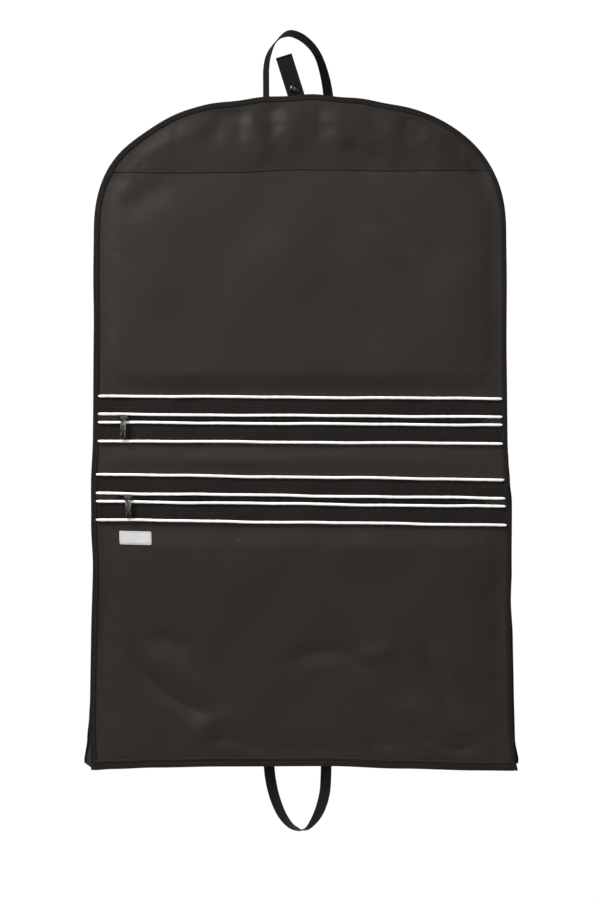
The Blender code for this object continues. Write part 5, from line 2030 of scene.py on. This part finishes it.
@dataclass
class HangerSlot:
    """The stiffened frame in the top wall, with the slot for a hanger's hook."""

    outline: Outline
    centre_x: float = -0.004
    half_long: float = 0.029
    slot_y: tuple[float, float] = (-0.0062, 0.0078)
    frame_half: tuple[float, float] = (0.0345, 0.0147)
    frame_z: float = -0.0036
    thick: float = 0.0018

    def build(self) -> None:
        """Make the frame with its bound slot, and the stitches round it."""
        count = 96
        angles = 2 * np.pi * (np.arange(count) + 0.5) / count
        cos, sin = np.cos(angles), np.sin(angles)
        square = (np.abs(cos) ** 8 + np.abs(sin) ** 8) ** (1 / 8)
        outer = np.stack([self.centre_x + self.frame_half[0] * cos / square,
                          self.frame_half[1] * sin / square], axis=1)
        round_half = (self.slot_y[1] - self.slot_y[0]) / 2
        middle_y = sum(self.slot_y) / 2
        straight = np.sign(cos) * (self.half_long - round_half) * np.minimum(1.0, np.abs(cos) * 3)
        inner = np.stack([self.centre_x + straight + round_half * cos, middle_y + round_half * sin], axis=1)
        rings = []
        for share, high in ((0.0, -0.5), (-0.02, 0.0), (0.0, 0.5), (0.35, 0.55), (0.72, 0.6), (0.80, 1.1),
                            (0.92, 1.25), (1.0, 0.7), (1.02, 0.0), (1.0, -0.7), (0.85, -0.6), (0.40, -0.5)):
            flat = outer * (1 - share) + inner * share
            dip = 0.0012 * (np.abs(flat[:, 0] - self.centre_x) / 0.034) ** 2
            rings.append(np.stack([flat[:, 0], flat[:, 1], self.frame_z + high * self.thick / 2 - dip],
                                  axis=1))
        turned = np.array(rings).transpose(1, 0, 2)
        piece = loft("hanger_slot_frame", turned, True, turned[..., :2], 40.0)
        SHELF.dress(piece, WEBBING)
        attach(piece, UPPER, "hanger_slot")
        for number, share in enumerate((0.24, 0.66), start=1):
            flat = outer * (1 - share) + inner * share
            dip = 0.0012 * (np.abs(flat[:, 0] - self.centre_x) / 0.034) ** 2
            path = np.stack([flat[:, 0], flat[:, 1], self.frame_z + 0.00062 - dip], axis=1)
            out = np.broadcast_to(np.array([0.0, 0.0, 1.0]), path.shape)
            row = stitch_row(f"hanger_slot_stitch_{number}", path, out, 0.0024, 0.0009, 0.0005, True)
            SHELF.dress(row, THREAD)
            attach(row, UPPER)


@dataclass
class WebbingHandle:
    """A carry handle of flat webbing on edge, which twists where it bends over."""

    name: str
    route: tuple[tuple[float, float, float, float], ...]
    node: str
    wide: float = 0.0160
    thick: float = 0.0015

    def build(self) -> None:
        """Make the handle from its route, rows of (x, y, z, turn in degrees)."""
        rows = smooth_route(self.route, 14)
        path = rows[:, :3]
        turns = np.radians(rows[:, 3])
        along = tangents(path)
        flat = np.stack([along[:, 2], np.zeros(len(along)), -along[:, 0]], axis=1)
        flat = unit(flat)
        face = np.cross(along, flat)
        across = flat * np.cos(turns)[:, None] + face * np.sin(turns)[:, None]
        section = flat_section(self.wide, self.thick, 25, 6, 0.00007)
        section = np.array([(a, b + 0.0006 * (1 - (2 * a / self.wide) ** 2)) for a, b in section])
        piece = swept(f"{self.name}_webbing", path, across, section, False, 60.0)
        SHELF.dress(piece, WEBBING)
        attach(piece, self.node, self.node)


@dataclass
class SnapTab:
    """The webbing tab at the top: a strap, folded over, whose flap is held by a snap."""

    wide: float = 0.0245
    thick: float = 0.0015
    lean: float = math.radians(17.5)
    foot_x: float = -0.0045
    foot_z: float = -0.0026
    fold_height: float = 0.0622
    back_y: float = -0.01195
    front_y: float = -0.01665
    snap_z: float = 0.0098
    cap_radius: float = 0.0072

    def spot(self, across: Points, height: Points, y: Points) -> Points:
        """Points from places on the leaning tab."""
        cos, sin = math.cos(self.lean), math.sin(self.lean)
        across, height, y = np.broadcast_arrays(np.asarray(across, float), height, y)
        x = self.foot_x + across * cos - height * sin
        z = self.foot_z + across * sin + height * cos
        return np.stack([x, y, z], axis=-1)

    def level(self, across: Points, z: float) -> Points:
        """How far up the tab a level line crosses it."""
        return (z - self.foot_z - across * math.sin(self.lean)) / math.cos(self.lean)

    def build(self) -> None:
        """Make the strap, its flap, their stitching and the snap's three parts."""
        half = self.wide / 2
        across = np.linspace(-1, 1, 19) * half
        radius = (self.back_y - self.front_y) / 2
        middle_y = (self.back_y + self.front_y) / 2
        rows = []
        for t in np.linspace(0, 1, 22):
            low = self.level(across, self.foot_z + 0.0004)
            bow = 0.0004 * math.sin(math.pi * t)
            rows.append(self.spot(across, low * (1 - t) + self.fold_height * t, self.back_y + bow))
        for angle in np.linspace(0, 0.86 * math.pi, 12)[1:]:
            y = middle_y + radius * math.cos(angle)
            rows.append(self.spot(across, self.fold_height + 1.05 * radius * math.sin(angle), y))
        middle = np.array(rows)
        uv = np.stack(np.broadcast_arrays(across[None, :], np.linspace(0, 0.071, len(rows))[:, None]), axis=2)
        strap = sheet_solid("snap_tab_strap", middle, self.thick, uv)
        SHELF.dress(strap, WEBBING)
        attach(strap, UPPER, "tab_strap")

        rows = []
        inset = 0.0028
        for t in np.linspace(0, 1, 26):
            low = self.level(across, 0.0012)
            corner = inset * (1 - np.sqrt(np.clip(1 - (np.clip(np.abs(across) - half + inset, 0,
                                                               None) / inset) ** 2,
                                                  0, 1)))
            high = self.fold_height - 0.0002
            bow = 0.0006 * math.sin(math.pi * t) - 0.0003
            rows.append(self.spot(across, high * t + (low + corner) * (1 - t), self.front_y - bow))
        middle = np.array(rows)
        uv = np.stack(np.broadcast_arrays(across[None, :], np.linspace(0, 0.063, len(rows))[:, None]), axis=2)
        flap = sheet_solid("snap_tab_flap", middle, self.thick, uv)
        SHELF.dress(flap, WEBBING)
        attach(flap, "tab_flap", "tab_flap")
        self.build_stitches(half)
        self.build_snap()

    def build_stitches(self, half: float) -> None:
        """Rows of stitches down both edges of the flap and across its foot."""
        edge = half - 0.0021
        low = float(self.level(np.array([0.0]), 0.0030)[0])
        corners = ((-edge, self.fold_height - 0.003), (-edge, low - edge * 0.1 + 0.0022),
                   (edge, low - edge * 0.35),
                   (edge, self.fold_height - 0.003))
        line = resampled(np.array(corners), 0.001)
        t = np.clip((line[:, 1] - low) / (self.fold_height - low), 0, 1)
        y = self.front_y - 0.0006 * np.sin(math.pi * t) + 0.0003 - self.thick / 2 - 0.0001
        path = self.spot(line[:, 0], line[:, 1], y)
        out = np.broadcast_to(np.array([0.0, -1.0, 0.0]), path.shape)
        row = stitch_row("snap_tab_stitch", path, out, 0.0026, 0.0010, 0.0005)
        SHELF.dress(row, THREAD)
        attach(row, "tab_flap")

    def disc(self, name: str, profile: Sequence[tuple[float, float]], y: float, body: str, node: str) -> None:
        """A turned round part facing the front.

        Args:
            name: the piece's name.
            profile: (radius, how far towards the viewer) from the rim to the middle.
            y: the plane that it starts from.
            body: the body that it rides on.
            node: the CAD node that it stands for.
        """
        height = float(self.level(np.array([0.0]), self.snap_z)[0])
        centre = self.spot(np.zeros(1), np.full(1, height), np.full(1, y))[0]
        angles = 2 * np.pi * np.arange(40) / 40
        rings = []
        for radius, out in profile:
            rings.append(np.stack([centre[0] + radius * np.cos(angles), np.full(40, centre[1] - out),
                                   centre[2] + radius * np.sin(angles)], axis=1))
        piece = loft(name, np.array(rings), False, None, 30.0)
        SHELF.dress(piece, SNAP)
        attach(piece, body, node)

    def build_snap(self) -> None:
        """The snap's domed cap, its socket, and the stud on the strap behind."""
        r = self.cap_radius
        cap = ((r - 0.0010, 0.0), (r - 0.0002, 0.0001), (r, 0.0005), (r - 0.0001, 0.0009),
               (r - 0.0007, 0.0011),
               (r - 0.0010, 0.0010), (r - 0.0014, 0.0012), (r * 0.70, 0.0018), (r * 0.45, 0.0021),
               (r * 0.2, 0.0022),
               (0.0002, 0.00225))
        self.disc("snap_cap_dome", cap, self.front_y - self.thick / 2 - 0.0004, "tab_flap", "snap_cap")
        low = ((0.0054, 0.0), (0.0058, 0.0002), (0.0058, 0.0008), (0.0052, 0.0011), (0.0036, 0.0011),
               (0.0030, 0.0006),
               (0.0002, 0.0006))
        behind = self.back_y - self.thick / 2
        self.disc("snap_socket_ring", low, behind - 0.0017, "tab_flap", "snap_socket")
        stud = ((0.0040, 0.0), (0.0042, 0.0003), (0.0036, 0.0006), (0.0022, 0.0007), (0.0019, 0.0011),
                (0.0016, 0.0013),
                (0.0002, 0.0014))
        self.disc("snap_stud_post", stud, behind - 0.0002, UPPER, "snap_stud")


# ---------------------------------------------------------------- studio


@dataclass
class Studio:
    """A white room with soft lamps, a pale floor below the bag, and the camera."""

    distance: float = 5.0
    view_high: float = 1.3305
    centre_z: float = -0.5232
    front_y: float = -0.016
    floor_z: float = -1.30

    def lamp(self, name: str, place: tuple[float, float, float], size: tuple[float, float], watts: float,
             colour: tuple[float, float, float] = (1.0, 1.0, 1.0)) -> None:
        """A soft rectangular lamp that looks at the middle of the bag."""
        data = bpy.data.lights.new(name, "AREA")
        data.shape = "RECTANGLE"
        data.size, data.size_y = size
        data.energy = watts
        data.color = colour
        lamp = bpy.data.objects.new(name, data)
        bpy.context.scene.collection.objects.link(lamp)
        lamp.location = place
        aim = Vector((0.0, 0.0, self.centre_z)) - Vector(place)
        lamp.rotation_euler = aim.to_track_quat("-Z", "Y").to_euler()

    def build(self) -> None:
        """Set up the camera, the lamps, the white surroundings and the floor."""
        scene = bpy.context.scene
        data = bpy.data.cameras.new("camera")
        data.sensor_fit = "VERTICAL"
        data.sensor_height = data.sensor_width = 36.0
        data.lens = 36.0 * self.distance / self.view_high
        data.clip_start, data.clip_end = 0.1, 50.0
        camera = bpy.data.objects.new("camera", data)
        scene.collection.objects.link(camera)
        camera.location = (0.0, self.front_y - self.distance, self.centre_z)
        camera.rotation_euler = (math.pi / 2, 0.0, 0.0)
        scene.camera = camera
        scene.view_settings.view_transform = "Standard"
        scene.view_settings.look = "None"

        self.lamp("key_lamp", (-2.1, -1.5, 1.8), (0.9, 0.9), 232.0)
        self.lamp("fill_lamp", (2.4, -2.2, -0.2), (1.4, 1.4), 19.0)
        self.lamp("front_lamp", (0.3, -3.6, 0.8), (1.6, 1.6), 46.0)
        self.lamp("back_lamp", (0.8, 2.6, 0.6), (1.8, 1.8), 170.0)
        self.build_world(scene)
        self.build_floor()

    def build_world(self, scene: bpy.types.Scene) -> None:
        """White where the camera sees past the bag, and a softer grey light on the bag itself."""
        world = bpy.data.worlds.new("studio")
        world.use_nodes = True
        scene.world = world
        wiring = Wiring(world.node_tree)
        world.node_tree.nodes.clear()
        seen = wiring.node("ShaderNodeBackground")
        seen.inputs["Color"].default_value = (1.0, 1.0, 1.0, 1.0)
        seen.inputs["Strength"].default_value = 1.02
        lit = wiring.node("ShaderNodeBackground")
        lit.inputs["Color"].default_value = (1.0, 0.99, 0.975, 1.0)
        lit.inputs["Strength"].default_value = 0.16
        path = wiring.node("ShaderNodeLightPath")
        mixed = wiring.node("ShaderNodeMixShader")
        out = wiring.node("ShaderNodeOutputWorld")
        wiring.put(path.outputs["Is Camera Ray"], mixed.inputs[0])
        wiring.put(lit.outputs[0], mixed.inputs[1])
        wiring.put(seen.outputs[0], mixed.inputs[2])
        wiring.put(mixed.outputs[0], out.inputs[0])

    def build_floor(self) -> None:
        """A plain pale round of floor below the bag."""
        angles = 2 * np.pi * np.arange(96) / 96
        points = np.stack([0.72 * np.cos(angles), 0.72 * np.sin(angles), np.full(96, self.floor_z)], axis=1)
        floor = add_piece("studio_floor", points, [tuple(range(96))])
        material, wiring, shader = blank_material("floor_paint")
        place = wiring.node("ShaderNodeTexCoord").outputs["Object"]
        tone = wiring.ramp(wiring.noise(place, 3.0), 0.3, 0.7)
        wiring.put(wiring.mix(tone, (0.80, 0.80, 0.79, 1.0), (0.84, 0.84, 0.83, 1.0)),
                   shader.inputs["Base Color"])
        shader.inputs["Roughness"].default_value = 0.8
        floor.data.materials.append(material)


# ---------------------------------------------------------------- the whole bag


TOP_ROUTE = (
    (-0.0502, 0.0, -0.0022, -57.0), (-0.0503, 0.0, 0.020, -57.0), (-0.0500, 0.0, 0.044, -58.0),
    (-0.0458, 0.0, 0.0645, -64.0), (-0.0345, 0.0, 0.0838, -84.0), (-0.0175, 0.0, 0.0942, -49.0),
    (-0.0018, 0.0, 0.0908, -40.0), (0.0124, 0.0, 0.0806, -42.0), (0.0234, 0.0, 0.0672, -44.0),
    (0.0312, 0.0, 0.0505, -42.0), (0.0382, 0.0, 0.0252, -32.0), (0.0426, 0.0, -0.0022, -24.0),
)
BOTTOM_ROUTE = (
    (-0.0465, 0.0, -0.9876, 0.0), (-0.0442, 0.0, -1.0094, 6.0), (-0.0402, 0.0, -1.030, 16.0),
    (-0.0338, 0.0, -1.0500, 24.0), (-0.0256, 0.0, -1.0672, 36.0), (-0.0148, 0.0, -1.0808, 52.0),
    (-0.0044, 0.0, -1.0868, 66.0), (0.0032, 0.0, -1.0882, 84.0), (0.0133, 0.0, -1.0834, 108.0),
    (0.0252, 0.0, -1.0671, 138.0), (0.0326, 0.0, -1.0493, 158.0), (0.0370, 0.0, -1.030, 170.0),
    (0.0384, 0.0, -1.0094, 178.0), (0.0390, 0.0, -0.9876, 180.0),
)


def main() -> None:
    """Build the bag's sub-assemblies in order, from its cloth to its studio."""
    outline = Outline()
    cloth = HangingCloth(outline)
    cloth.simulate()
    drape = Drape(outline, cloth)
    tailor = Tailor(outline, drape)
    HangerSlot(outline).build()
    FrontPanels(tailor).build()
    pockets = (
        ZipPocket(1, tailor, (-0.446, -0.473, -0.485, -0.5125), -0.0068, (-0.4525, -0.533), -0.261, 0.0006,
                  UPPER),
        ZipPocket(2, tailor, (-0.564, -0.5915, -0.6037, -0.631), -0.0129, (-0.574, -0.83), -0.2545, 0.0008,
                  LOWER),
    )
    for pocket in pockets:
        pocket.build()
    WovenLabel(drape).build()
    BackPanels(tailor).build()
    Gussets(tailor).build()
    Bindings(tailor).build()
    WebbingHandle("top_handle", TOP_ROUTE, "top_handle").build()
    WebbingHandle("bottom_handle", BOTTOM_ROUTE, "bottom_handle").build()
    SnapTab().build()
    Studio().build()


if __name__ == "__main__":
    logging.basicConfig(level=logging.INFO, format="%(name)s: %(message)s")
    main()
